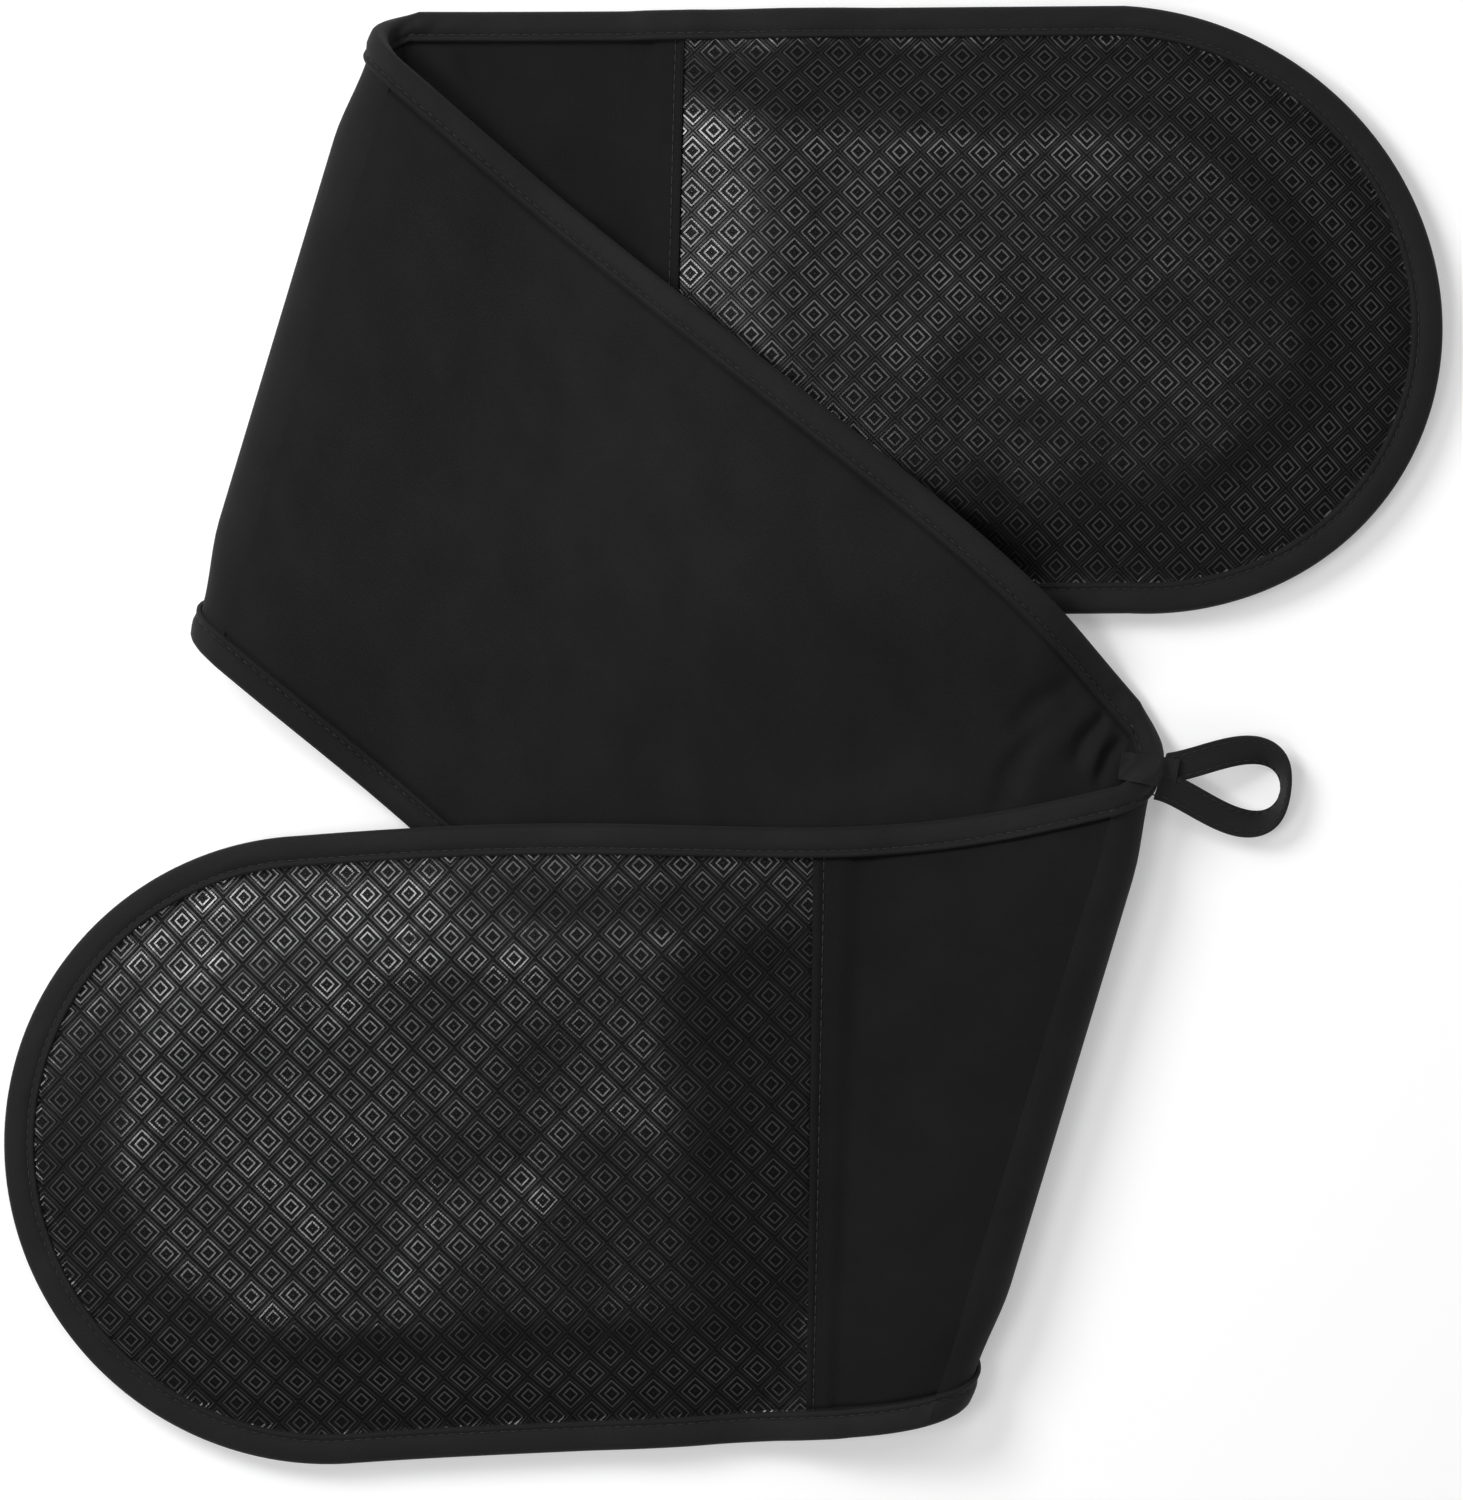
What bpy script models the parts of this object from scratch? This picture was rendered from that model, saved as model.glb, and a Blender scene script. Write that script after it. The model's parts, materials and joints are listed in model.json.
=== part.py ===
"""Double oven glove, folded into a Z and laid flat.

One long padded strip has a round glove at each end. Each glove has a silicone grip on one face and a
hand pocket on the other. The strip is folded over itself twice: the upper glove lies lowest, the middle
of the strip lies across it, and the lower glove lies on top. A bias tape binds every edge, and a tape
loop hangs at one fold. Sizes are in metres and angles in degrees. The floor is z = 0.
"""
import bmesh
import bpy
from math import cos, exp, hypot, pi, radians, sin, sqrt
from mathutils import Matrix, Vector

# Strip and round ends
STRIP_WIDTH = 0.175
LOWER_SPREAD = 0.0065        # the lower glove lies spread this much wider
END_REACH = 0.0912           # from a glove's widest line to its tip
UPPER_RUN = 0.2306           # from the left fold to the upper glove's widest line
MIDDLE_RUN = 0.3010          # from fold to fold
LOWER_RUN = 0.2029           # from the right fold to the lower glove's widest line

# Directions seen from above, counted from +X
UPPER_ANGLE = 0.47
MIDDLE_ANGLE = -48.17
LOWER_ANGLE = 184.52
FOLD_LINE_ANGLE = 73.25
UPPER_END_TURN = -3.55       # how far each round end swings out of line with its run
LOWER_END_TURN = -1.27

# Cloth, padding and binding
CLOTH = 0.0006
GRIP_CLOTH = 0.0010
GAP = 0.0003                 # between one layer and the next
WADDING = 0.0062
SEAM_WADDING = 0.0012        # the same wadding squeezed flat in a seam
POCKET_WADDING = 0.0026
POCKET_SEAM_WADDING = 0.0006
TAPE = 0.0009
TAPE_WIDTH = 0.0088
TAPE_ROUND = 0.0011          # corner where the tape turns over an edge
PUFF_RUN = 0.0240            # from the tape's edge to where the padding is full

# Gloves
UPPER_GRIP_LENGTH = 0.2205   # from the tip to the seam with the plain cloth
LOWER_GRIP_LENGTH = 0.2320
GRIP_LAP = 0.0080            # silicone under the plain cloth's folded edge
LAP_STEP = 0.0020
POCKET_DEPTH = 0.1870
POCKET_GAPE = 0.0060         # height that a pocket stands open
POCKET_RUN = 0.0340          # from the tape's edge to where it stands fully open
MOUTH_RAMP = 0.0550          # from a pocket's mouth to where the strip lies flat again
MOUTH_EASE = 0.0180          # run over which a seam thickens for the mouth's tape

# How the layers lie
FOLD_INSIDE = 0.0040         # radius left open inside a fold
REST_GAP = 0.0010            # between two layers that lie on each other
GRIP_REST_GAP = 0.0013
LEFT_SETTLE = 0.0600         # from the left fold to where the middle has come down
RIGHT_SETTLE = 0.0350
LOWER_SETTLE = 0.0550
RISE_START = 0.0750          # the middle rises over the pocket from here before its mouth
RISE_RUN = 0.0650
DRAPE_START = 0.0160         # inside the upper glove's long edge
DRAPE_RUN = 0.0650
DROOP_START = 0.0140         # inside the middle's long edge
DROOP_RUN = 0.0660

# Hanging loop
LOOP_TAPE_WIDTH = 0.0086
LOOP_TAPE = 0.0016
LOOP_LENGTH = 0.0376
LOOP_HALF_BREADTH = 0.0094   # from the loop's middle line to its tape's, past the root's half spacing
LOOP_ROOT_SPACING = 0.0098   # between the two sewn ends
LOOP_TIP_HEIGHT = 0.0044
LOOP_ANGLE = -8.0
LOOP_FLAT_TILT = 6.0         # tilt of the tape where it lies flat
LOOP_TIP_TILT = 72.0         # tilt where it turns at the tip
LOOP_TURN = 42.0             # how much of the way round the tape stands up
LOOP_PLACE_SHARE = 0.932     # along the right fold, as a share of half its length
LOOP_SEWN_SHARE = 0.2        # of each half of the tape, from its sewn end

# Where each layer's long edges meet the fold lines, as shares of half the fold's length
UPPER_CORNER_SHARES = (-1.010, 1.005)
MIDDLE_LEFT_CORNER_SHARES = (-1.155, 0.826)
MIDDLE_RIGHT_CORNER_SHARES = (-0.863, 1.290)
LOWER_CORNER_SHARES = (-1.068, 1.015)

# How far each long edge bows towards the top, as shares of half the strip's width
UPPER_BOW_SHARES = (0.0, 0.0)
MIDDLE_BOW_SHARES = (0.065, 0.060)
LOWER_BOW_SHARES = (-0.034, -0.100)
MIDDLE_BOW_POWERS = (1.0, 2.5)
LOWER_BOW_POWERS = (1.5, 2.5)
LEAN_POWER = 4               # how soon the lines across a glove stop leaning like its fold

# Mesh fineness
FINE_ROW_COUNT = 4
COARSE_ROW_COUNT = 2
FOLD_STEP_COUNT = 8
END_STEP_COUNT = 12
LOOP_STEP_COUNT = 40
COLUMN_SPACING = 0.022
STEEP_SPACING = 0.011        # where the middle comes down beside the right fold
LEVEL_SPACING = 0.042

# Sizes that follow from those above
HALF_WIDTH = STRIP_WIDTH / 2
HALF_FOLD = HALF_WIDTH / sin(radians(FOLD_LINE_ANGLE - UPPER_ANGLE))
STRIP_HALF = WADDING / 2 + GAP + CLOTH
SEAM_HALF = SEAM_WADDING / 2 + GAP + CLOTH
POCKET_STACK = POCKET_WADDING + 2 * (GAP + CLOTH)
POCKET_SEAM_STACK = POCKET_SEAM_WADDING + 2 * (GAP + CLOTH)
BOUND = TAPE + GAP                             # what one turn of tape adds to a side
PLATE_INSET = BOUND + 3 * GAP
FOLD_RADIUS = FOLD_INSIDE + STRIP_HALF
FOLD_TOP = STRIP_HALF + 2 * FOLD_RADIUS         # mid-surface height of the leg above a fold
CLOSED_MID = POCKET_STACK + GAP + STRIP_HALF
POCKET_MID = POCKET_STACK + POCKET_GAPE + STRIP_HALF
POCKET_EDGE_MID = 2 * BOUND + POCKET_SEAM_STACK / 2
SEAM_MID = POCKET_EDGE_MID + POCKET_SEAM_STACK / 2 + GAP + SEAM_HALF
OVER_PLAIN = 3 * STRIP_HALF + REST_GAP
OVER_POCKET = POCKET_MID + WADDING / 2 + GAP + GRIP_CLOTH + GRIP_REST_GAP + STRIP_HALF
OVER_MIDDLE = 2 * STRIP_HALF + REST_GAP


def blend(a, b, share):
    return a + (b - a) * share


def ease(share):
    """0 to 1 with level ends."""
    share = min(max(share, 0.0), 1.0)
    return share * share * (3 - 2 * share)


def direction(angle):
    return Vector((cos(radians(angle)), sin(radians(angle))))


FOLD_LINE = direction(FOLD_LINE_ANGLE)


def plateau(x, start, end, run):
    """1 between start and end, easing to 0 over run on each side."""
    return ease((x - start) / run + 1) * ease((end - x) / run + 1)


def fullness(inset, run=PUFF_RUN):
    """How full the padding is at a distance from the strip's edge, 0 in the seam to 1."""
    return ease((inset - TAPE_WIDTH) / run)


def half_wadding(inset):
    return blend(SEAM_WADDING, WADDING, fullness(inset)) / 2


def spread(marks, spacing):
    """The marks in order, with evenly spaced stations between those that lie further apart."""
    marks = sorted(set(marks))
    stations = marks[:1]
    for start, end in zip(marks, marks[1:]):
        count = max(1, round((end - start) / spacing + 1 / 4))
        stations += [blend(start, end, (n + 1) / count) for n in range(count)]
    return stations


def inset_lines(half, inner):
    """Distances in from an edge at which every layer has a line of points, out to the middle."""
    lines = [PLATE_INSET, TAPE_WIDTH + GAP, TAPE_WIDTH + PUFF_RUN / 2, TAPE_WIDTH + PUFF_RUN]
    return lines + [blend(lines[-1], half, (n + 1) / inner) for n in range(inner)]


def both_edges(places):
    """Stations on a stretch with two long edges."""
    return [[(place, side) for place in places] for side in (1, -1)]


class Glove:
    """A glove's plan and heights. s runs from its fold to its tip, v from -1 to 1 across it.

    A station is a line from the glove's edge in to its middle line: (s, side) on a long edge, or
    (angle, 0) round the end.
    """

    def __init__(self, fold, run, angle, end_turn, half_width, corner_shares, bow_shares, grip_length):
        self.fold = fold
        self.run = run
        self.half = half_width
        self.along = direction(angle)
        self.end_way = direction(angle + end_turn)
        self.across = Vector((-self.along.y, self.along.x))
        if self.across.dot(FOLD_LINE) < 0:
            self.across.negate()
        self.corner_shares = corner_shares
        self.bow_shares = bow_shares
        self.tip = run + END_REACH
        self.mouth = self.tip - POCKET_DEPTH
        self.seam = self.tip - grip_length
        self.lap = self.seam - GRIP_LAP

    def edge(self, u, side):
        """The long edge on one side, at share u of the run."""
        way = 2 * side - 1
        base = self.fold + self.across * self.half * way
        corner = self.fold + FOLD_LINE * HALF_FOLD * self.corner_shares[side]
        bow = HALF_WIDTH * self.bow_shares[side] * sin(pi * (1 - u) ** LOWER_BOW_POWERS[side])
        return base + self.along * self.run * u + (corner - base) * (1 - u) ** LEAN_POWER + self.across * bow

    def plan(self, s, v):
        u = min(s / self.run, 1)
        place = self.edge(u, 0).lerp(self.edge(u, 1), (v + 1) / 2)
        return place + self.end_way * max(s - self.run, 0)

    def inset(self, s, v):
        """Distance to the strip's edge."""
        return self.half * (1 - hypot(max(s - self.run, 0) / END_REACH, v))

    def spot(self, station, inset):
        """(s, v) on a station's line."""
        at, side = station
        rho = 1 - inset / self.half
        if side:
            return at, side * rho
        return self.run + END_REACH * rho * cos(at), rho * sin(at)

    def marks(self, spacing):
        """Stations along a long edge. All the layers share them, so that they nest."""
        return spread([
            GAP, self.lap - LAP_STEP - GAP, self.lap, self.seam, self.seam + LAP_STEP,
            self.mouth - MOUTH_EASE, self.mouth - GAP, self.mouth + PLATE_INSET,
            self.mouth + TAPE_WIDTH + GAP, self.mouth + TAPE_WIDTH + PUFF_RUN, self.run], spacing)

    def stations(self, spacing, start=0):
        """From the start line along one long edge, round the end and back along the other edge."""
        along = [s for s in self.marks(spacing) if s >= start]
        turns = [radians(90 - 180 * (n + 1) / END_STEP_COUNT) for n in range(END_STEP_COUNT - 1)]
        return [(s, 1) for s in along] + [(turn, 0) for turn in turns] + [(s, -1) for s in reversed(along)]

    def pocketed(self, s):
        """1 where the pocket lies under the strip, easing to 0 before its mouth."""
        return ease((s - self.mouth + MOUTH_RAMP + PLATE_INSET) / MOUTH_RAMP)

    def at_mouth(self, s):
        return plateau(s, self.mouth - GAP, self.mouth + TAPE_WIDTH + GAP, MOUTH_EASE)

    def seat(self, s, v):
        """Height of what the glove lies on."""
        return 0.0

    def settle(self, s, v, height):
        return height

    def mid(self, s, v):
        """Height of the wadding's mid-surface."""
        inset = self.inset(s, v)
        seam = SEAM_MID + BOUND * self.at_mouth(s)
        closed = blend(seam, CLOSED_MID, fullness(inset))
        pocket = closed + (POCKET_MID - CLOSED_MID) * fullness(inset, POCKET_RUN)
        height = self.seat(s, v) + blend(STRIP_HALF, pocket, self.pocketed(s))
        return self.settle(s, v, height)

    def pocket_mid(self, s, v):
        """Height of the pocket panel's mid-surface."""
        full = ease((s - self.mouth - TAPE_WIDTH) / PUFF_RUN)
        open_mid = blend(BOUND + POCKET_SEAM_STACK / 2, POCKET_STACK / 2, full)
        height = self.seat(s, v) + blend(POCKET_EDGE_MID, open_mid, fullness(self.inset(s, v)))
        return self.settle(s, v, height)

    def half_pocket_wadding(self, s, v):
        full = ease((s - self.mouth - TAPE_WIDTH) / PUFF_RUN) * fullness(self.inset(s, v))
        return blend(POCKET_SEAM_WADDING, POCKET_WADDING, full) / 2

    def point(self, s, v, height):
        place = self.plan(s, v)
        return Vector((place.x, place.y, height))


class LowerGlove(Glove):
    """The top glove, which lies on the middle of the strip and droops to the floor past its edge."""

    middle = None

    def seat(self, s, v):
        past = self.middle.past_lower_edge(self.plan(s, v))
        return OVER_MIDDLE * (1 - ease((past + DROOP_START) / DROOP_RUN))

    def settle(self, s, v, height):
        away = abs((self.plan(s, v) - self.fold).dot(ACROSS_FOLD))
        return blend(FOLD_TOP, height, ease(away / LOWER_SETTLE))


ACROSS_FOLD = Vector((FOLD_LINE.y, -FOLD_LINE.x))


class Middle:
    """The strip between the folds. u runs from the left fold to the right one, v across it."""

    def __init__(self, left, right, upper):
        self.left = left
        self.right = right
        self.upper = upper

    def corner(self, end, side):
        shares = (MIDDLE_LEFT_CORNER_SHARES, MIDDLE_RIGHT_CORNER_SHARES)[end]
        return (self.left, self.right)[end] + FOLD_LINE * HALF_FOLD * shares[side]

    def edge(self, u, side):
        start, end = self.corner(0, side), self.corner(1, side)
        out = Vector((start.y - end.y, end.x - start.x)).normalized()
        bow = HALF_WIDTH * MIDDLE_BOW_SHARES[side] * sin(pi * u ** MIDDLE_BOW_POWERS[side])
        return start.lerp(end, u) + out * bow

    def plan(self, u, v):
        return self.edge(u, 0).lerp(self.edge(u, 1), (v + 1) / 2)

    def past_lower_edge(self, place):
        """How far a place lies beyond the straight line under the strip's lower long edge."""
        start, end = self.corner(0, 0), self.corner(1, 0)
        out = Vector((end.y - start.y, start.x - end.x)).normalized()
        return (place - start).dot(out)

    def inset(self, v):
        return HALF_WIDTH * (1 - abs(v))

    def mid(self, u, v):
        """Over the upper glove, then down to the floor past its long edge, and level at both folds."""
        place = self.plan(u, v)
        local = place - self.upper.fold
        rise = ease((local.dot(self.upper.along) - self.upper.mouth + RISE_START) / RISE_RUN)
        over = blend(OVER_PLAIN, OVER_POCKET, rise)
        past = -local.dot(self.upper.across) - self.upper.half
        height = blend(over, STRIP_HALF, ease((past + DRAPE_START) / DRAPE_RUN))
        from_left = abs((place - self.left).dot(ACROSS_FOLD))
        from_right = abs((place - self.right).dot(ACROSS_FOLD))
        height = blend(STRIP_HALF, height, ease(from_right / RIGHT_SETTLE))
        return blend(FOLD_TOP, height, ease(from_left / LEFT_SETTLE))

    def point(self, u, v, rise):
        place = self.plan(u, v)
        return Vector((place.x, place.y, self.mid(u, v) + rise))


class Bend:
    """A fold: a half turn about its axis. turn runs from 0 at the lower leg to 1 at the upper one."""

    def __init__(self, centre, outward, lower_shares, upper_shares):
        self.centre = Vector((centre.x, centre.y, STRIP_HALF + FOLD_RADIUS))
        self.outward = Vector((outward.x, outward.y, 0))
        self.line = Vector((FOLD_LINE.x, FOLD_LINE.y, 0))
        self.shares = (lower_shares, upper_shares)

    def point(self, turn, v, rise):
        """rise is measured upwards at the lower leg, so towards the axis."""
        lows, highs = self.shares
        side = (v + 1) / 2
        share = blend(blend(*lows, side), blend(*highs, side), turn)
        angle = pi * (turn - 1 / 2)
        radius = FOLD_RADIUS - rise
        spoke = self.outward * cos(angle) + Vector((0, 0, 1)) * sin(angle)
        return self.centre + self.line * HALF_FOLD * share + spoke * radius


LEFT_FOLD = Vector((0, 0))
RIGHT_FOLD = LEFT_FOLD + direction(MIDDLE_ANGLE) * MIDDLE_RUN

upper = Glove(
    LEFT_FOLD, UPPER_RUN, UPPER_ANGLE, UPPER_END_TURN, HALF_WIDTH, UPPER_CORNER_SHARES,
    UPPER_BOW_SHARES, UPPER_GRIP_LENGTH)
middle = Middle(LEFT_FOLD, RIGHT_FOLD, upper)
lower = LowerGlove(
    RIGHT_FOLD, LOWER_RUN, LOWER_ANGLE, LOWER_END_TURN, HALF_WIDTH + LOWER_SPREAD / 2, LOWER_CORNER_SHARES,
    LOWER_BOW_SHARES, LOWER_GRIP_LENGTH)
lower.middle = middle
left_bend = Bend(LEFT_FOLD, -ACROSS_FOLD, UPPER_CORNER_SHARES, MIDDLE_LEFT_CORNER_SHARES)
right_bend = Bend(RIGHT_FOLD, ACROSS_FOLD, MIDDLE_RIGHT_CORNER_SHARES, LOWER_CORNER_SHARES)


def clear_scene():
    for item in list(bpy.data.objects):
        bpy.data.objects.remove(item, do_unlink=True)


def new_collection(name):
    collection = bpy.data.collections.new(name)
    bpy.context.scene.collection.children.link(collection)
    return collection


def new_material(name, colour, roughness):
    material = bpy.data.materials.new(name)
    material.use_nodes = True
    shader = material.node_tree.nodes["Principled BSDF"]
    shader.inputs["Base Color"].default_value = (*colour, 1)
    shader.inputs["Roughness"].default_value = roughness
    shader.inputs["Metallic"].default_value = 0
    return material


def sheet(name, material, runs, rows, under, over, doubled=False):
    """A closed sheet of cloth whose two faces are laid by under() and over().

    Each run is a flat grid, extruded before it is laid. Runs that end at the middle line meet there.
    The first leg of a doubled sheet is split the other way, so that both legs nest with what they hold.
    """
    bm = bmesh.new()
    joined = rows[-1] in (upper.half, lower.half)
    last_row = len(rows) - 1
    for columns in runs:
        last_column = len(columns) - 1
        made = bmesh.ops.create_grid(bm, x_segments=last_column, y_segments=last_row, size=1)["verts"]
        flat = list({face for vert in made for face in vert.link_faces})
        flat.sort(key=lambda face: face.index)
        turned = [face for face in flat if doubled and face.calc_center_median().y < -GAP]
        kept = [face for face in flat if face not in turned]
        split = bmesh.ops.triangulate(bm, faces=kept, quad_method="FIXED")["faces"]
        if turned:
            split += bmesh.ops.triangulate(bm, faces=turned, quad_method="ALTERNATE")["faces"]
        grown = bmesh.ops.extrude_face_region(bm, geom=split, use_keep_orig=True)["geom"]
        raised = [item for item in grown if isinstance(item, bmesh.types.BMVert)]
        if joined:
            ends = {vert for vert in made + raised if vert.co.y > 1 - 1 / last_row}
            inner = [face for face in bm.faces if ends.issuperset(face.verts)]
            bmesh.ops.delete(bm, geom=inner, context="FACES")
        for verts, laid in ((made, under), (raised, over)):
            for vert in verts:
                column = columns[round((vert.co.x + 1) / 2 * last_column)]
                vert.co = laid(column, rows[round((vert.co.y + 1) / 2 * last_row)])
    bmesh.ops.remove_doubles(bm, verts=bm.verts[:], dist=GAP / 30)
    rims = [face for face in bm.faces if len(face.verts) > 3]
    bmesh.ops.triangulate(bm, faces=rims, quad_method="SHORT_EDGE")
    bmesh.ops.recalc_face_normals(bm, faces=bm.faces[:])
    if bm.calc_volume(signed=True) < 0:
        bmesh.ops.reverse_faces(bm, faces=bm.faces[:])
    mesh = bpy.data.meshes.new(name)
    bm.to_mesh(mesh)
    bm.free()
    mesh.materials.append(material)
    item = bpy.data.objects.new(name, mesh)
    part.objects.link(item)
    return item


def tape_section(top, bottom, wall):
    """Points of the folded tape's section as (inward, rise), for a wall's distance from its outside."""
    high = top + TAPE - wall
    low = -bottom - TAPE + wall
    return [
        (TAPE_WIDTH, high), (wall + TAPE_ROUND, high), (wall, high - TAPE_ROUND),
        (wall, low + TAPE_ROUND), (wall + TAPE_ROUND, low), (TAPE_WIDTH, low)]


LOBE_PEAK = 3 * sqrt(3) / 4                     # greatest value of sin(a) * (1 + cos(a))
SECTION_POINTS = range(len(tape_section(TAPE, TAPE, TAPE)))


def folded_tape(name, material, stations, place, top, bottom):
    """Tape folded round an edge. place(station, inward, rise) puts a point of its section."""
    def wall_at(wall):
        def laid(station, corner):
            inward, rise = tape_section(top(station), bottom(station), wall)[corner]
            return place(station, inward, rise)
        return laid
    return sheet(name, material, [stations], SECTION_POINTS, wall_at(TAPE), wall_at(0), doubled=True)


def make_glove(prefix, glove, inner, spacing):
    insets = inset_lines(glove.half, inner)
    whole = glove.stations(spacing)
    gripped = glove.stations(spacing, glove.lap)
    plain = [s - GAP * (s == glove.lap) for s in glove.marks(spacing) if s <= glove.seam]

    def layer(rise):
        def laid(station, inset):
            s, v = glove.spot(station, inset)
            return glove.point(s, v, glove.mid(s, v) + rise(s, half_wadding(inset)))
        return laid

    def lapped(s):
        return (GRIP_CLOTH + GAP) * (s >= glove.lap - 2 * GAP)

    return [
        sheet(prefix + "_grip_panel", silicone, [gripped], insets,
              layer(lambda s, half: half + GAP), layer(lambda s, half: half + GAP + GRIP_CLOTH)),
        sheet(prefix + "_front_fabric", cloth, [[(s, 1) for s in plain], [(s, -1) for s in reversed(plain)]],
              insets, layer(lambda s, half: half + GAP + lapped(s)),
              layer(lambda s, half: half + GAP + CLOTH + lapped(s))),
        sheet(prefix + "_wadding", wadding, [whole], insets,
              layer(lambda s, half: -half), layer(lambda s, half: half)),
        sheet(prefix + "_back_fabric", cloth, [whole], insets,
              layer(lambda s, half: -half - GAP - CLOTH), layer(lambda s, half: -half - GAP)),
        make_edge_tape(prefix, glove, whole)] + make_pocket(prefix, glove, insets, spacing)


def make_pocket(prefix, glove, insets, spacing):
    """The hand pocket's padded panel under the strip, and the tape along its mouth."""
    stations = [glove.stations(spacing, glove.mouth)]

    def layer(rise):
        def laid(station, inset):
            s, v = glove.spot(station, inset)
            return glove.point(s, v, glove.pocket_mid(s, v) + rise(glove.half_pocket_wadding(s, v)))
        return laid

    def mouth_place(v, inward, rise):
        s = glove.mouth + inward
        level = glove.pocket_mid(glove.mouth, v) - glove.seat(glove.mouth, v)
        return glove.point(s, v, glove.seat(s, v) + level + rise)

    inside = POCKET_SEAM_STACK / 2 + GAP
    across = [1 - inset / glove.half for inset in insets]
    return [
        sheet(prefix + "_pocket_lining", cloth, stations, insets,
              layer(lambda half: half + GAP), layer(lambda half: half + GAP + CLOTH)),
        sheet(prefix + "_pocket_wadding", wadding, stations, insets,
              layer(lambda half: -half), layer(lambda half: half)),
        sheet(prefix + "_pocket_panel", cloth, stations, insets,
              layer(lambda half: -half - GAP - CLOTH), layer(lambda half: -half - GAP)),
        folded_tape(prefix + "_pocket_binding", binding,
                    across + [-v for v in reversed(across[:-1])], mouth_place,
                    lambda v: inside, lambda v: inside)]


def make_edge_tape(prefix, glove, stations):
    """The binding from the fold along one long edge, round the end and back along the other edge."""
    def laid(station, inward, rise):
        s, v = glove.spot(station, inward)
        return glove.point(s, v, glove.mid(s, v) + rise)

    def top(station):
        s = glove.spot(station, 0)[0]
        lap = plateau(s, glove.lap - LAP_STEP - 2 * GAP, glove.seam + LAP_STEP, TAPE_WIDTH)
        face = blend(CLOTH, GRIP_CLOTH, ease((s - glove.lap) / GRIP_LAP))
        return SEAM_WADDING / 2 + 2 * GAP + blend(face, CLOTH + GAP + GRIP_CLOTH, lap)

    def bottom(station):
        s = glove.spot(station, 0)[0]
        pocket = POCKET_SEAM_STACK + GAP + 2 * BOUND * glove.at_mouth(s)
        return SEAM_HALF + GAP + pocket * glove.pocketed(s)

    return folded_tape(prefix + "_edge_binding", binding, stations, laid, top, bottom)


def strip_layers(prefix, columns, insets, point, names):
    """Wadding between two cloths. names gives the cloth on the lower and on the upper side."""
    def layer(rise):
        def laid(station, inset):
            column, side = station
            return point(column, side * (1 - inset / HALF_WIDTH), rise(half_wadding(inset)))
        return laid

    runs = both_edges(columns)
    under, over = names
    return [
        sheet(prefix + "_" + under, cloth, runs, insets,
              layer(lambda half: -half - GAP - CLOTH), layer(lambda half: -half - GAP)),
        sheet(prefix + "_wadding", wadding, runs, insets,
              layer(lambda half: -half), layer(lambda half: half)),
        sheet(prefix + "_" + over, cloth, runs, insets,
              layer(lambda half: half + GAP), layer(lambda half: half + GAP + CLOTH))]


def edge_tapes(prefix, columns, point):
    """The binding on both long edges of a stretch of the strip."""
    made = []
    for name, side in (("_lower_binding", -1), ("_upper_binding", 1)):
        def laid(column, inward, rise, side=side):
            return point(column, side * (1 - inward / HALF_WIDTH), rise)

        reach = SEAM_HALF + GAP
        made.append(folded_tape(prefix + name, binding, columns, laid, lambda c: reach, lambda c: reach))
    return made


def make_middle():
    ends = GAP / (MIDDLE_RUN * abs(sin(radians(FOLD_LINE_ANGLE - MIDDLE_ANGLE))))
    steep = 1 - 2 * RIGHT_SETTLE / MIDDLE_RUN
    columns = spread([ends, steep], COLUMN_SPACING / MIDDLE_RUN)[:-1]
    columns += spread([steep, 1 - ends], STEEP_SPACING / MIDDLE_RUN)
    layers = strip_layers(
        "middle", columns, inset_lines(HALF_WIDTH, FINE_ROW_COUNT), middle.point, ("front_fabric", "back_fabric"))
    return layers + edge_tapes("middle", columns, middle.point)


def make_bend(prefix, bend, names):
    turns = [n / FOLD_STEP_COUNT for n in range(FOLD_STEP_COUNT + 1)]
    layers = strip_layers(prefix, turns, inset_lines(HALF_WIDTH, COARSE_ROW_COUNT), bend.point, names)
    return layers + edge_tapes(prefix, turns, bend.point)


def loop_root():
    """Middle of the loop's sewn ends, against the binding on the outside of the right fold."""
    return right_bend.point(1 / 2, LOOP_PLACE_SHARE, -(SEAM_HALF + BOUND + GAP))


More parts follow.
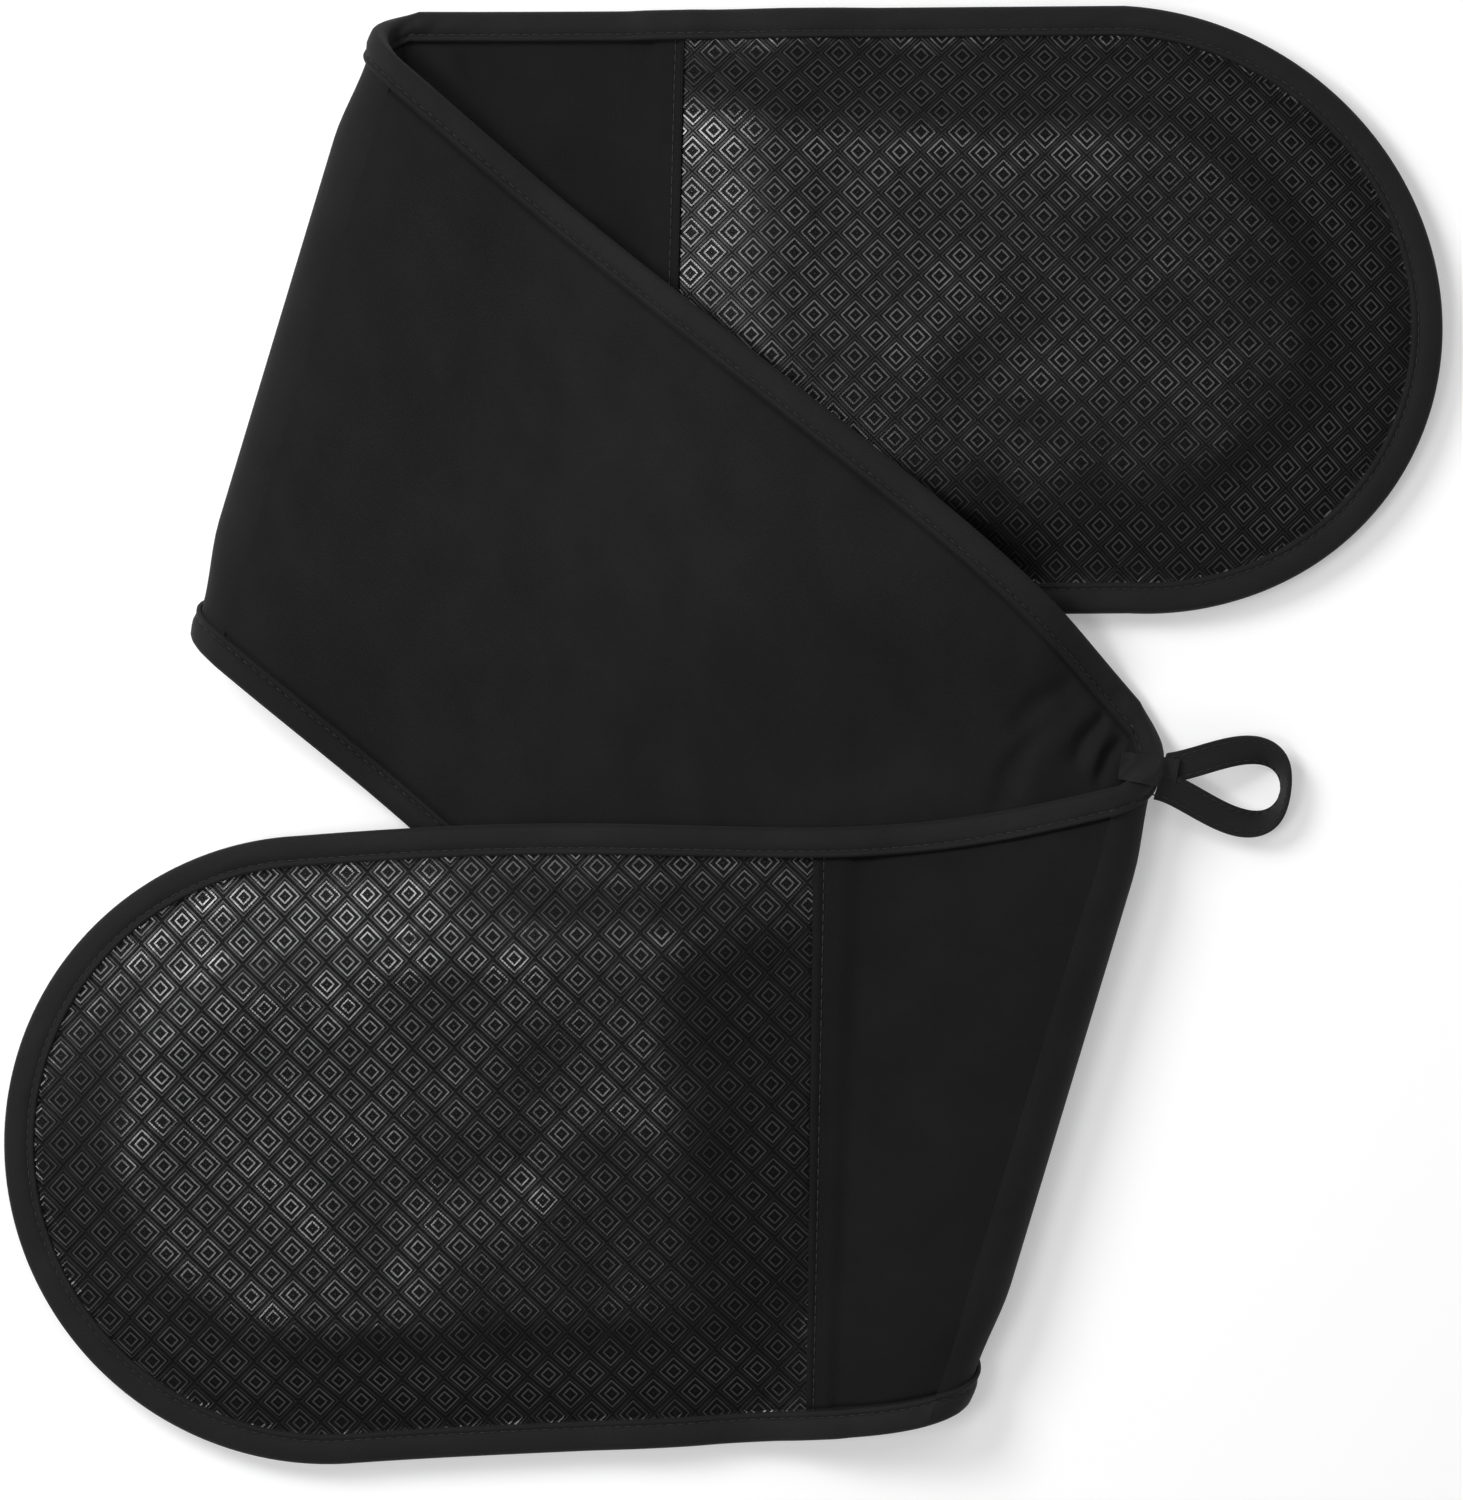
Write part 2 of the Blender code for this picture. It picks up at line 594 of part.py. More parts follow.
def make_loop(root):
    """One tape from its upper sewn end round the tip and back. It lies flat and stands up at the tip."""
    way = Vector((*direction(LOOP_ANGLE), 0))
    side = Vector((-way.y, way.x, 0))
    up = Vector((0, 0, 1))
    turns = [pi * (1 - 2 * n / LOOP_STEP_COUNT) for n in range(LOOP_STEP_COUNT + 1)]

    def centre(turn):
        out = LOOP_LENGTH * (1 + cos(turn)) / 2
        aside = LOOP_HALF_BREADTH * sin(turn) * (1 + cos(turn)) / LOBE_PEAK
        drop = (LOOP_TIP_HEIGHT - root.z) * ease(out / LOOP_LENGTH)
        sewn = right_bend.line * LOOP_ROOT_SPACING / 2 * blend(-1, 1, ease((turn / pi + 1) / 2))
        return root + sewn + way * out + side * aside + up * drop

    def frame(turn):
        """The tape's width and thickness directions. Its width follows the fold at the sewn ends."""
        step = pi / LOOP_STEP_COUNT / 2
        tangent = (centre(min(turn + step, pi)) - centre(max(turn - step, -pi))).normalized()
        tilt = radians(blend(LOOP_FLAT_TILT, LOOP_TIP_TILT, exp(-(turn / radians(LOOP_TURN)) ** 2)))
        width = tangent.cross(up).normalized() * cos(tilt) + up * sin(tilt)
        sewn = ease((abs(turn) / pi - 1) / LOOP_SEWN_SHARE + 1)
        width = width.lerp(right_bend.line * (1 if turn > 0 else -1), sewn).normalized()
        return width, tangent.cross(width).normalized()

    def laid(rise):
        def place(turn, across):
            width, thickness = frame(turn)
            return centre(turn) + width * across + thickness * rise
        return place

    edges = [-LOOP_TAPE_WIDTH / 2, 0, LOOP_TAPE_WIDTH / 2]
    return sheet("hanging_loop", binding, [turns], edges, laid(-LOOP_TAPE / 2), laid(LOOP_TAPE / 2))


def new_axis(name, place, parent=None):
    """An empty on a hinge's axis. What turns about it is its child."""
    axis = bpy.data.objects.new(name, None)
    axis.location = place
    part.objects.link(axis)
    bpy.context.view_layer.update()
    if parent:
        carry([axis], parent)
    return axis


def carry(items, parent):
    for item in items:
        item.parent = parent
        item.matrix_parent_inverse = parent.matrix_world.inverted()


def centre_of(items):
    """Middle of the floor under all the pieces."""
    places = [vert.co for item in items for vert in item.data.vertices]
    lows = [min(place[axis] for place in places) for axis in range(3)]
    highs = [max(place[axis] for place in places) for axis in range(3)]
    return Vector(((lows[0] + highs[0]) / 2, (lows[1] + highs[1]) / 2, lows[2]))


clear_scene()
part = new_collection("double_oven_glove")
cloth = new_material("matt black cotton", (0.020, 0.020, 0.021), 0.92)
silicone = new_material("black silicone", (0.016, 0.016, 0.017), 0.32)
binding = new_material("black bias tape", (0.024, 0.024, 0.025), 0.78)
wadding = new_material("grey felt wadding", (0.22, 0.22, 0.21), 0.98)

on_floor = make_glove("upper", upper, COARSE_ROW_COUNT, LEVEL_SPACING)
on_floor += make_bend("left_fold", left_bend, ("back_fabric", "front_fabric"))
with_middle = make_middle() + make_bend("right_fold", right_bend, ("front_fabric", "back_fabric"))
with_lower = make_glove("lower", lower, FINE_ROW_COUNT, COLUMN_SPACING)
root = loop_root()
loop = make_loop(root)

shift = -centre_of(on_floor + with_middle + with_lower + [loop])
for item in on_floor + with_middle + with_lower + [loop]:
    item.data.transform(Matrix.Translation(shift))
left_axis = new_axis("left_fold_axis", left_bend.centre + shift)
right_axis = new_axis("right_fold_axis", right_bend.centre + shift, left_axis)
loop_axis = new_axis("loop_axis", root + right_bend.outward * LOOP_TAPE / 2 + shift, left_axis)
bpy.context.view_layer.update()
carry(with_middle, left_axis)
carry(with_lower, right_axis)
carry([loop], loop_axis)
for axis in (left_axis, right_axis, loop_axis):
    print(axis.name, [round(value, 6) for value in axis.matrix_world.translation], tuple(FOLD_LINE))
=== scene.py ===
import json
import bmesh
import bpy
import numpy as np
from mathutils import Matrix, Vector
from mathutils.bvhtree import BVHTree


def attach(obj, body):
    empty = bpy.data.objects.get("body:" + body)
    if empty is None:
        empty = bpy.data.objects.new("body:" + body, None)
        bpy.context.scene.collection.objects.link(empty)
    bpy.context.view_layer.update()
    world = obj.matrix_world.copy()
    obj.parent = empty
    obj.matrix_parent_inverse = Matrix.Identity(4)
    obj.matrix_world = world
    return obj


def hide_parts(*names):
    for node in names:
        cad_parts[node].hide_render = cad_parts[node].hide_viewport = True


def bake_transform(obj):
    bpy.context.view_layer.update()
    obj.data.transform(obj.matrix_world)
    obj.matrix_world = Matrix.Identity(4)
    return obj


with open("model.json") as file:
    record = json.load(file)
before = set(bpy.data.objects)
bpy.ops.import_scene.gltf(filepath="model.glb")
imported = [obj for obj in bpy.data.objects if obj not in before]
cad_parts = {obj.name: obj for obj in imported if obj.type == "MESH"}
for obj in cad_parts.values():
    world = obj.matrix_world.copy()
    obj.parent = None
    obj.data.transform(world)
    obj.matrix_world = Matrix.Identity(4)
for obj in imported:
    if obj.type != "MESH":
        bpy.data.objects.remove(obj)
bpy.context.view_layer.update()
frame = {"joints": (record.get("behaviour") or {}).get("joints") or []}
print("frame loaded")

# The glove is one padded strip with a round glove at each end, folded into a Z.
# Sizes are in metres and angles in degrees. +Z is up and the glove lies on z = 0.
strip = {
    "halfWidth": 0.0875, "endReach": 0.0912, "middleRun": 0.3010, "foldLineAngle": 73.25,
    "upperAngle": 0.47, "lowerAngle": 184.52,
    "cloth": 0.0006, "gripCloth": 0.0010, "gap": 0.0003,
    "wadding": 0.0062, "seamWadding": 0.0012, "pocketWadding": 0.0026, "pocketSeamWadding": 0.0006,
    "tape": 0.0009, "tapeWidth": 0.0088, "puffRun": 0.0240, "pocketRun": 0.0340,
    "gripLap": 0.0080, "lapStep": 0.0020, "pocketDepth": 0.1870, "pocketGape": 0.0060,
    "mouthRamp": 0.0550, "mouthEase": 0.0180,
    "foldInside": 0.0040, "restGap": 0.0010, "gripRestGap": 0.0013,
    "leftSettle": 0.0600, "rightSettle": 0.0350, "lowerSettle": 0.0550,
    "riseStart": 0.0750, "riseRun": 0.0650, "drapeStart": 0.0160, "drapeRun": 0.0650,
    "droopStart": 0.0140, "droopRun": 0.0660, "leanPower": 4, "rollFade": 0.003, "feltDrop": 0.0002,
}
halfWidth = strip["halfWidth"]
gap = strip["gap"]
clothThick = strip["cloth"]
tapeThick = strip["tape"]
tapeWidth = strip["tapeWidth"]
stripHalf = strip["wadding"] / 2 + gap + clothThick
seamHalf = strip["seamWadding"] / 2 + gap + clothThick
pocketStack = strip["pocketWadding"] + 2 * (gap + clothThick)
pocketSeamStack = strip["pocketSeamWadding"] + 2 * (gap + clothThick)
bound = tapeThick + gap
clothInset = bound + 3 * gap               # how far the cloths stop short of the tape's outside
foldRadius = strip["foldInside"] + stripHalf
foldTop = stripHalf + 2 * foldRadius
closedMid = pocketStack + gap + stripHalf
pocketMid = pocketStack + strip["pocketGape"] + stripHalf
pocketEdgeMid = 2 * bound + pocketSeamStack / 2
seamMid = pocketEdgeMid + pocketSeamStack / 2 + gap + seamHalf
overPlain = 3 * stripHalf + strip["restGap"]
overPocket = pocketMid + strip["wadding"] / 2 + gap + strip["gripCloth"] + strip["gripRestGap"] + stripHalf
overMiddle = 2 * stripHalf + strip["restGap"]


def mix(a, b, share):
    return a + (b - a) * share


def ease(share):
    share = np.clip(share, 0, 1)
    return share * share * (3 - 2 * share)


def bump01(x, start, end, run):
    return ease((x - start) / run + 1) * ease((end - x) / run + 1)


def wayOf(angle):
    return np.array([np.cos(np.radians(angle)), np.sin(np.radians(angle))])


jointPlace = {joint["name"]: np.array(joint["pos_m"]) for joint in frame["joints"]}
leftFold = jointPlace["left_fold"][:2]
rightFold = jointPlace["right_fold"][:2]
foldLine = wayOf(strip["foldLineAngle"])
acrossFold = np.array([foldLine[1], -foldLine[0]])
halfFold = halfWidth / np.sin(np.radians(strip["foldLineAngle"] - strip["upperAngle"]))


def fullness(inset, run=strip["puffRun"]):
    return ease((inset - tapeWidth) / run)


def halfWadding(inset):
    return mix(strip["seamWadding"], strip["wadding"], fullness(inset)) / 2


# plans of the two gloves and of the middle, seen from above
def makeArm(name, fold, run, angle, endTurn, half, corners, bows, gripLength):
    along = wayOf(angle)
    across = np.array([-along[1], along[0]])
    if across @ foldLine < 0:
        across = -across
    tip = run + strip["endReach"]
    seam = tip - gripLength
    return {
        "name": name, "fold": fold, "run": run, "half": half, "along": along, "across": across,
        "endWay": wayOf(angle + endTurn), "corners": corners, "bows": bows, "tip": tip,
        "mouth": tip - strip["pocketDepth"], "seam": seam, "lap": seam - strip["gripLap"]}


upperArm = makeArm("upper", leftFold, 0.2306, strip["upperAngle"], -3.55, halfWidth, (-1.010, 1.005), (0, 0), 0.2205)
lowerArm = makeArm("lower", rightFold, 0.2029, strip["lowerAngle"], -1.27, halfWidth + 0.00325, (-1.068, 1.015),
                   (-0.034, -0.100), 0.2320)
lowerBowPowers = (1.5, 2.5)
middleCorners = ((-1.155, 0.826), (-0.863, 1.290))     # at the left and the right fold, lower and upper edge
middleBows = ((0.065, 1.0), (0.060, 2.5))


def armEdge(arm, u, side):
    base = arm["fold"] + arm["across"] * arm["half"] * (2 * side - 1)
    corner = arm["fold"] + foldLine * halfFold * arm["corners"][side]
    bow = halfWidth * arm["bows"][side] * np.sin(np.pi * (1 - u) ** lowerBowPowers[side])
    lean = (1 - u) ** strip["leanPower"]
    return base + arm["along"] * arm["run"] * u[..., None] + (corner - base) * lean[..., None] \
        + arm["across"] * bow[..., None]


def armPlan(arm, s, v):
    u = np.minimum(s / arm["run"], 1)
    low, high = armEdge(arm, u, 0), armEdge(arm, u, 1)
    place = low + (high - low) * ((v + 1) / 2)[..., None]
    return place + arm["endWay"] * np.maximum(s - arm["run"], 0)[..., None]


def armInset(arm, s, v):
    return arm["half"] * (1 - np.hypot(np.maximum(s - arm["run"], 0) / strip["endReach"], v))


def armSpot(arm, stations, insets):
    # s and v on every station's line, from the edge to the middle line
    at, side = np.array(stations).T[..., None]
    rho = 1 - np.atleast_2d(insets) / arm["half"]
    s = np.where(side != 0, at + 0 * rho, arm["run"] + strip["endReach"] * rho * np.cos(at))
    v = np.where(side != 0, side * rho, rho * np.sin(at))
    return s, v


def middleLine(side):
    # ends of the middle's straight edge and the way out from it
    start = leftFold + foldLine * halfFold * middleCorners[0][side]
    end = rightFold + foldLine * halfFold * middleCorners[1][side]
    out = np.array([start[1] - end[1], end[0] - start[0]])
    return start, end, out / np.hypot(*out)


def middleEdge(u, side):
    start, end, out = middleLine(side)
    share, power = middleBows[side]
    bow = halfWidth * share * np.sin(np.pi * u ** power)
    return start + (end - start) * u[..., None] + out * bow[..., None]


def middlePlan(u, v):
    low, high = middleEdge(u, 0), middleEdge(u, 1)
    return low + (high - low) * ((v + 1) / 2)[..., None]


def pastMiddleEdge(place):
    start, _, out = middleLine(0)
    return -((place - start) @ out)


# heights
def pocketed(arm, s):
    return ease((s - arm["mouth"] + strip["mouthRamp"] + clothInset) / strip["mouthRamp"])


def atMouth(arm, s):
    return bump01(s, arm["mouth"] - gap, arm["mouth"] + tapeWidth + gap, strip["mouthEase"])


def armSeat(arm, s, v):
    if arm["name"] == "upper":
        return 0 * s
    past = pastMiddleEdge(armPlan(arm, s, v))
    return overMiddle * (1 - ease((past + strip["droopStart"]) / strip["droopRun"]))


def armSettle(arm, s, v, height):
    if arm["name"] == "upper":
        return height
    away = np.abs((armPlan(arm, s, v) - arm["fold"]) @ acrossFold)
    return mix(foldTop, height, ease(away / strip["lowerSettle"]))


def armMid(arm, s, v):
    inset = armInset(arm, s, v)
    closed = mix(seamMid + bound * atMouth(arm, s), closedMid, fullness(inset))
    pocket = closed + (pocketMid - closedMid) * fullness(inset, strip["pocketRun"])
    return armSettle(arm, s, v, armSeat(arm, s, v) + mix(stripHalf, pocket, pocketed(arm, s)))


def pocketPanelMid(arm, s, v):
    full = ease((s - arm["mouth"] - tapeWidth) / strip["puffRun"])
    openMid = mix(bound + pocketSeamStack / 2, pocketStack / 2, full)
    height = armSeat(arm, s, v) + mix(pocketEdgeMid, openMid, fullness(armInset(arm, s, v)))
    return armSettle(arm, s, v, height)


def halfPocketWadding(arm, s, v):
    full = ease((s - arm["mouth"] - tapeWidth) / strip["puffRun"]) * fullness(armInset(arm, s, v))
    return mix(strip["pocketSeamWadding"], strip["pocketWadding"], full) / 2


def middleMid(u, v):
    place = middlePlan(u, v)
    local = place - upperArm["fold"]
    rise = ease((local @ upperArm["along"] - upperArm["mouth"] + strip["riseStart"]) / strip["riseRun"])
    over = mix(overPlain, overPocket, rise)
    past = -(local @ upperArm["across"]) - upperArm["half"]
    height = mix(over, stripHalf, ease((past + strip["drapeStart"]) / strip["drapeRun"]))
    fromRight = np.abs((place - rightFold) @ acrossFold)
    fromLeft = np.abs((place - leftFold) @ acrossFold)
    height = mix(stripHalf, height, ease(fromRight / strip["rightSettle"]))
    return mix(foldTop, height, ease(fromLeft / strip["leftSettle"]))


def newMesh(name, points, faces=(), edges=()):
    mesh = bpy.data.meshes.new(name)
    mesh.from_pydata(np.reshape(points, (-1, 3)).tolist(), edges, faces)
    return mesh


def intoScene(name, data):
    item = bpy.data.objects.new(name, data)
    bpy.context.scene.collection.objects.link(item)
    return item


def pointGrid(shape):
    return np.arange(shape[0] * shape[1]).reshape(shape)


def gridFaces(index):
    # a face between every four neighbours in a grid of point numbers
    corners = (index[:-1, :-1], index[1:, :-1], index[1:, 1:], index[:-1, 1:])
    return np.stack([corner.ravel() for corner in corners], 1).tolist()


# The fabric is a little longer than its sewn edge and buckles into soft puckers over the padding.
# "ease" scales what the simulation gives and "cap" is the most that a point may move.
pucker = {
    "columns": 72, "rows": 40, "surplus": 0.006, "hold": 0.02, "mass": 0.12, "tension": 12.0, "bending": 1.0,
    "frames": 16, "start": 0.0002, "patch": 0.016, "ease": 0.32, "cap": 0.0009, "fade": 0.0045,
    "gutter": 0.0006, "gutterHalf": 0.0006, "gutterAway": 0.0005, "deepest": 0.0017, "quality": 5, "damping": 2,
    "clearTape": 0.001, "clearFold": 0.006, "clearSeam": 0.003, "middleClear": 0.02,
    "lapFlat": 0.8, "lapFlatBack": 0.002, "lapFlatRun": 0.003,
}
reliefs = {}


def splineAt(table, x, y):
    # smooth value between a table's points; the table repeats past its ends
    i, j = np.floor(x).astype(int), np.floor(y).astype(int)

    def weights(t):
        return ((1 - t) ** 3, 3 * t ** 3 - 6 * t ** 2 + 4, 1 + 3 * t + 3 * t ** 2 - 3 * t ** 3, t ** 3)

    total = 0 * x
    for n, wide in enumerate(weights(x - i)):
        for m, deep in enumerate(weights(y - j)):
            total = total + wide * deep / 36 * table[(i + n - 1) % table.shape[0], (j + m - 1) % table.shape[1]]
    return total


def patches(x, y, size, seed):
    # slow random heights over a surface, about -1 to 1
    table = np.random.default_rng(seed).uniform(-1.6, 1.6, (61, 61))
    return splineAt(table, x / size, y / size)


def simulatePuckers(plan, held, seed):
    flat = np.where(held < 1, patches(plan[..., 0], plan[..., 1], pucker["patch"], seed), 0) * pucker["start"]
    mesh = newMesh("puckerTrial", np.dstack([plan, flat]), gridFaces(pointGrid(held.shape)))
    trial = intoScene("puckerTrial", mesh)
    group = trial.vertex_groups.new(name="held")
    for number, weight in enumerate(held.ravel()):
        group.add([number], float(weight), "REPLACE")
    modifier = trial.modifiers.new("puckers", "CLOTH")
    cloth = modifier.settings
    cloth.quality = pucker["quality"]
    cloth.mass = pucker["mass"]
    cloth.tension_stiffness = cloth.compression_stiffness = pucker["tension"]
    cloth.shear_stiffness = pucker["tension"] / 3
    cloth.bending_stiffness = pucker["bending"]
    cloth.air_damping = pucker["damping"]
    cloth.vertex_group_mass = "held"
    cloth.shrink_min = -pucker["surplus"]
    cloth.effector_weights.gravity = 0
    modifier.point_cache.frame_start = 1
    modifier.point_cache.frame_end = pucker["frames"]
    for moment in range(1, pucker["frames"] + 1):
        bpy.context.scene.frame_set(moment)
    evaluated = trial.evaluated_get(bpy.context.evaluated_depsgraph_get())
    places = np.empty(held.size * 3)
    evaluated.data.vertices.foreach_get("co", places)
    bpy.data.objects.remove(trial)
    bpy.context.scene.frame_set(1)
    moved = places.reshape(*held.shape, 3)[..., 2] * pucker["ease"]
    return pucker["cap"] * np.tanh(moved / pucker["cap"])


def makeReliefs():
    steps = np.linspace(0, 1, pucker["columns"]), np.linspace(-1, 1, pucker["rows"])
    share, v = np.meshgrid(*steps, indexing="ij")
    free = tapeWidth + pucker["clearTape"]
    for seed, arm in enumerate((upperArm, lowerArm)):
        s = share * arm["tip"]
        loose = (armInset(arm, s, v) > free) & (s > pucker["clearFold"])
        loose = loose & (np.abs(s - arm["seam"]) > pucker["clearSeam"])
        held = np.where(loose, pucker["hold"], 1.0)
        reliefs[arm["name"]] = simulatePuckers(armPlan(arm, s, v), held, seed + 3)
    loose = (halfWidth * (1 - np.abs(v)) > free) & (np.abs(share - 0.5) < 0.5 - pucker["middleClear"])
    reliefs["middle"] = simulatePuckers(middlePlan(share, v), np.where(loose, pucker["hold"], 1.0), 9)


# Creases seen near the folds: from place to place, how deep and how wide
creases = {
    "middle": (
        ((0.1096, 0.0056), (0.1031, -0.0013), -0.0022, 0.0015),
        ((0.1031, -0.0013), (0.1019, -0.0060), -0.0016, 0.0018),
        ((0.1139, -0.0026), (0.1107, -0.0055), -0.0024, 0.0013),
        ((0.1107, -0.0055), (0.1085, -0.0125), -0.0021, 0.0016),
        ((0.0987, 0.0145), (0.0895, 0.0091), -0.0013, 0.0024),
        ((0.0895, 0.0091), (0.0845, 0.0031), -0.0013, 0.0028),
        ((0.0879, -0.0023), (0.0830, -0.0110), -0.0017, 0.0028),
        ((0.0830, -0.0110), (0.0802, -0.0190), -0.0016, 0.0036),
        ((0.1045, 0.0070), (0.0960, -0.0030), 0.0012, 0.0034),
        ((0.1112, 0.0020), (0.1062, -0.0080), 0.0015, 0.0020)),
    "upper": (
        ((-0.0878, 0.1919), (-0.0793, 0.1848), -0.0017, 0.0022),
        ((-0.0744, 0.1936), (-0.0721, 0.1893), -0.0014, 0.0020),
        ((-0.0905, 0.1945), (-0.0865, 0.1860), 0.0010, 0.0024)),
    "lower": (),
}


def creaseAt(name, place):
    total = 0 * place[..., 0]
    for start, end, height, width in creases[name]:
        start, run = np.array(start), np.array(end) - np.array(start)
        share = np.clip((place - start) @ run / (run @ run), 0, 1)
        away = np.linalg.norm(place - start - share[..., None] * run, axis=-1)
        total = total + height * np.exp(-(away / width) ** 2)
    return pucker["deepest"] * np.tanh(total / pucker["deepest"])


def reliefAt(name, share, v, inset, place, sunk=1.0):
    # how far the top fabric stands above its plain shape
    table = reliefs[name]
    wave = splineAt(table, share * (table.shape[0] - 1), (v + 1) / 2 * (table.shape[1] - 1))
    gutter = sunk * pucker["gutter"] * np.exp(-((inset - tapeWidth - pucker["gutterAway"]) / pucker["gutterHalf"]) ** 2)
    return (wave + creaseAt(name, place)) * ease((inset - tapeWidth) / pucker["fade"]) - gutter


def armRelief(arm, s, v, inset):
    sunk = 1 - pucker["lapFlat"] * ease((s - arm["seam"] + pucker["lapFlatBack"]) / pucker["lapFlatRun"])
    return reliefAt(arm["name"], s / arm["tip"], v, inset, armPlan(arm, s, v), sunk)


def bendPoints(bend, turn, v, rise):
    # a half turn about the fold's axis; rise is measured towards the axis
    lows, highs = bend["shares"]
    side = (v + 1) / 2
    share = mix(mix(lows[0], lows[1], side), mix(highs[0], highs[1], side), turn)
    angle = np.pi * (turn - 0.5)
    radius = foldRadius - rise
    along = foldLine * (halfFold * share)[..., None]
    plan = bend["fold"] + along + bend["out"] * (radius * np.cos(angle))[..., None]
    height = stripHalf + foldRadius + radius * np.sin(angle)
    return np.dstack([plan, height])


makeReliefs()
print("puckers made")

leftBend = {"name": "left_fold", "fold": leftFold, "out": -acrossFold,
            "shares": (upperArm["corners"], middleCorners[0])}
rightBend = {"name": "right_fold", "fold": rightFold, "out": acrossFold,
             "shares": (middleCorners[1], lowerArm["corners"])}


class Wires:
    # short ways to add linked nodes to a tree; a socket goes by its name, with _ for a space, or by its number
    def __init__(self, tree):
        self.tree = tree

    def fill(self, node, sockets):
        for key, value in sockets.items():
            if isinstance(value, bpy.types.NodeSocket):
                self.tree.links.new(value, node.inputs[key])
            else:
                node.inputs[key].default_value = value
        return node

    def add(self, kind, settings=None, sockets=None, **named):
        node = self.tree.nodes.new(kind)
        for key, value in (settings or {}).items():
            setattr(node, key, value)
        self.fill(node, sockets or {})
        return self.fill(node, {key.replace("_", " "): value for key, value in named.items()})

    def maths(self, operation, *values):
        return self.add("ShaderNodeMath", {"operation": operation}, dict(enumerate(values))).outputs[0]

    def vector(self, x=0.0, y=0.0, z=0.0):
        return self.add("ShaderNodeCombineXYZ", X=x, Y=y, Z=z).outputs[0]

    def vectorMaths(self, operation, *values, **named):
        return self.add("ShaderNodeVectorMath", {"operation": operation}, dict(enumerate(values)), **named).outputs

    def split(self, vector):
        return self.add("ShaderNodeSeparateXYZ", None, {0: vector}).outputs

    def remap(self, value, low, high, first, last, **settings):
        node = self.add("ShaderNodeMapRange", settings, Value=value, From_Min=low, From_Max=high, To_Min=first,
                        To_Max=last)
        return node.outputs["Result"]

    def bump(self, strength, distance, **named):
        return self.add("ShaderNodeBump", Strength=strength, Distance=distance, **named).outputs["Normal"]


def newTree(kind, name, inputs, outputs):
    # a node tree; each input has its default number or its kind of socket
    tree = bpy.data.node_groups.new(name, kind + "NodeTree")
    for label, value in inputs.items():
        plain = not isinstance(value, str)
        kind = ("Int" if isinstance(value, int) else "Float") if plain else value
        socket = tree.interface.new_socket(label, in_out="INPUT", socket_type="NodeSocket" + kind)
        if plain:
            socket.default_value = value
    for label, kind in outputs.items():
        tree.interface.new_socket(label, in_out="OUTPUT", socket_type="NodeSocket" + kind)
    wires = Wires(tree)
    return wires, wires.add("NodeGroupInput").outputs, wires.add("NodeGroupOutput")


# materials
biasTurn = 0.785                           # cloth cut on the bias: its threads lie an eighth of a turn round


def newMaterial(name, colour, roughness, specular=0.3):
    material = bpy.data.materials.new(name)
    material.use_nodes = True
    wires = Wires(material.node_tree)
    shader = wires.fill(material.node_tree.nodes["Principled BSDF"], {
        "Base Color": (*colour, 1), "Roughness": roughness, "Specular IOR Level": specular})
    return material, wires, shader


def makeWeaveGroup():
    # crossing threads from UV in metres: height, and a slow tone over the cloth
    wires, given, result = newTree("Shader", "fineWeave", {"Vector": "Vector", "Threads": 1700.0, "Turn": 0.0},
                                   {"Height": "Float", "Tone": "Float"})
    spun = wires.add("ShaderNodeVectorRotate", {"rotation_type": "Z_AXIS"}, Vector=given["Vector"],
                     Angle=given["Turn"])
    place = wires.split(wires.vectorMaths("SCALE", spun.outputs[0], Scale=given["Threads"])[0])
    warp, weft = [wires.maths("SINE", wires.maths("MULTIPLY", place[axis], np.pi * 2)) for axis in "XY"]
    noise = wires.add("ShaderNodeTexNoise", Scale=55, Detail=4, Vector=given["Vector"])
    height = wires.maths("MULTIPLY", wires.maths("ADD", warp, weft), 0.5)
    wires.fill(result, {"Height": height, "Tone": noise.outputs["Fac"]})
    return wires.tree


weaveGroup = makeWeaveGroup()


def weaveOn(wires, threads, turn):
    # the cloth's map in metres, with the weave's height and tone on it
    cut = wires.add("ShaderNodeUVMap", {"uv_map": "cut"}).outputs["UV"]
    weave = wires.add("ShaderNodeGroup", {"node_tree": weaveGroup}, Vector=cut, Threads=threads, Turn=turn)
    return cut, weave.outputs["Height"], weave.outputs["Tone"]


def clothMaterial(name, colour, roughness, threads, turn, depth, specular, sheen=0.0):
    # fine threads in the bump and a slow change of tone
    material, wires, shader = newMaterial(name, colour, roughness, specular)
    _, height, tone = weaveOn(wires, threads, turn)
    paint = wires.add("ShaderNodeMix", {"data_type": "RGBA", "blend_type": "MULTIPLY"},
                      {"Factor": 1, 6: (*colour, 1), 7: wires.remap(tone, 0.3, 0.7, 0.85, 1.15)})
    wires.fill(shader, {"Sheen Weight": sheen, "Sheen Roughness": 0.5, "Base Color": paint.outputs[2],
                        "Normal": wires.bump(0.6, depth, Height=height)})
    return material


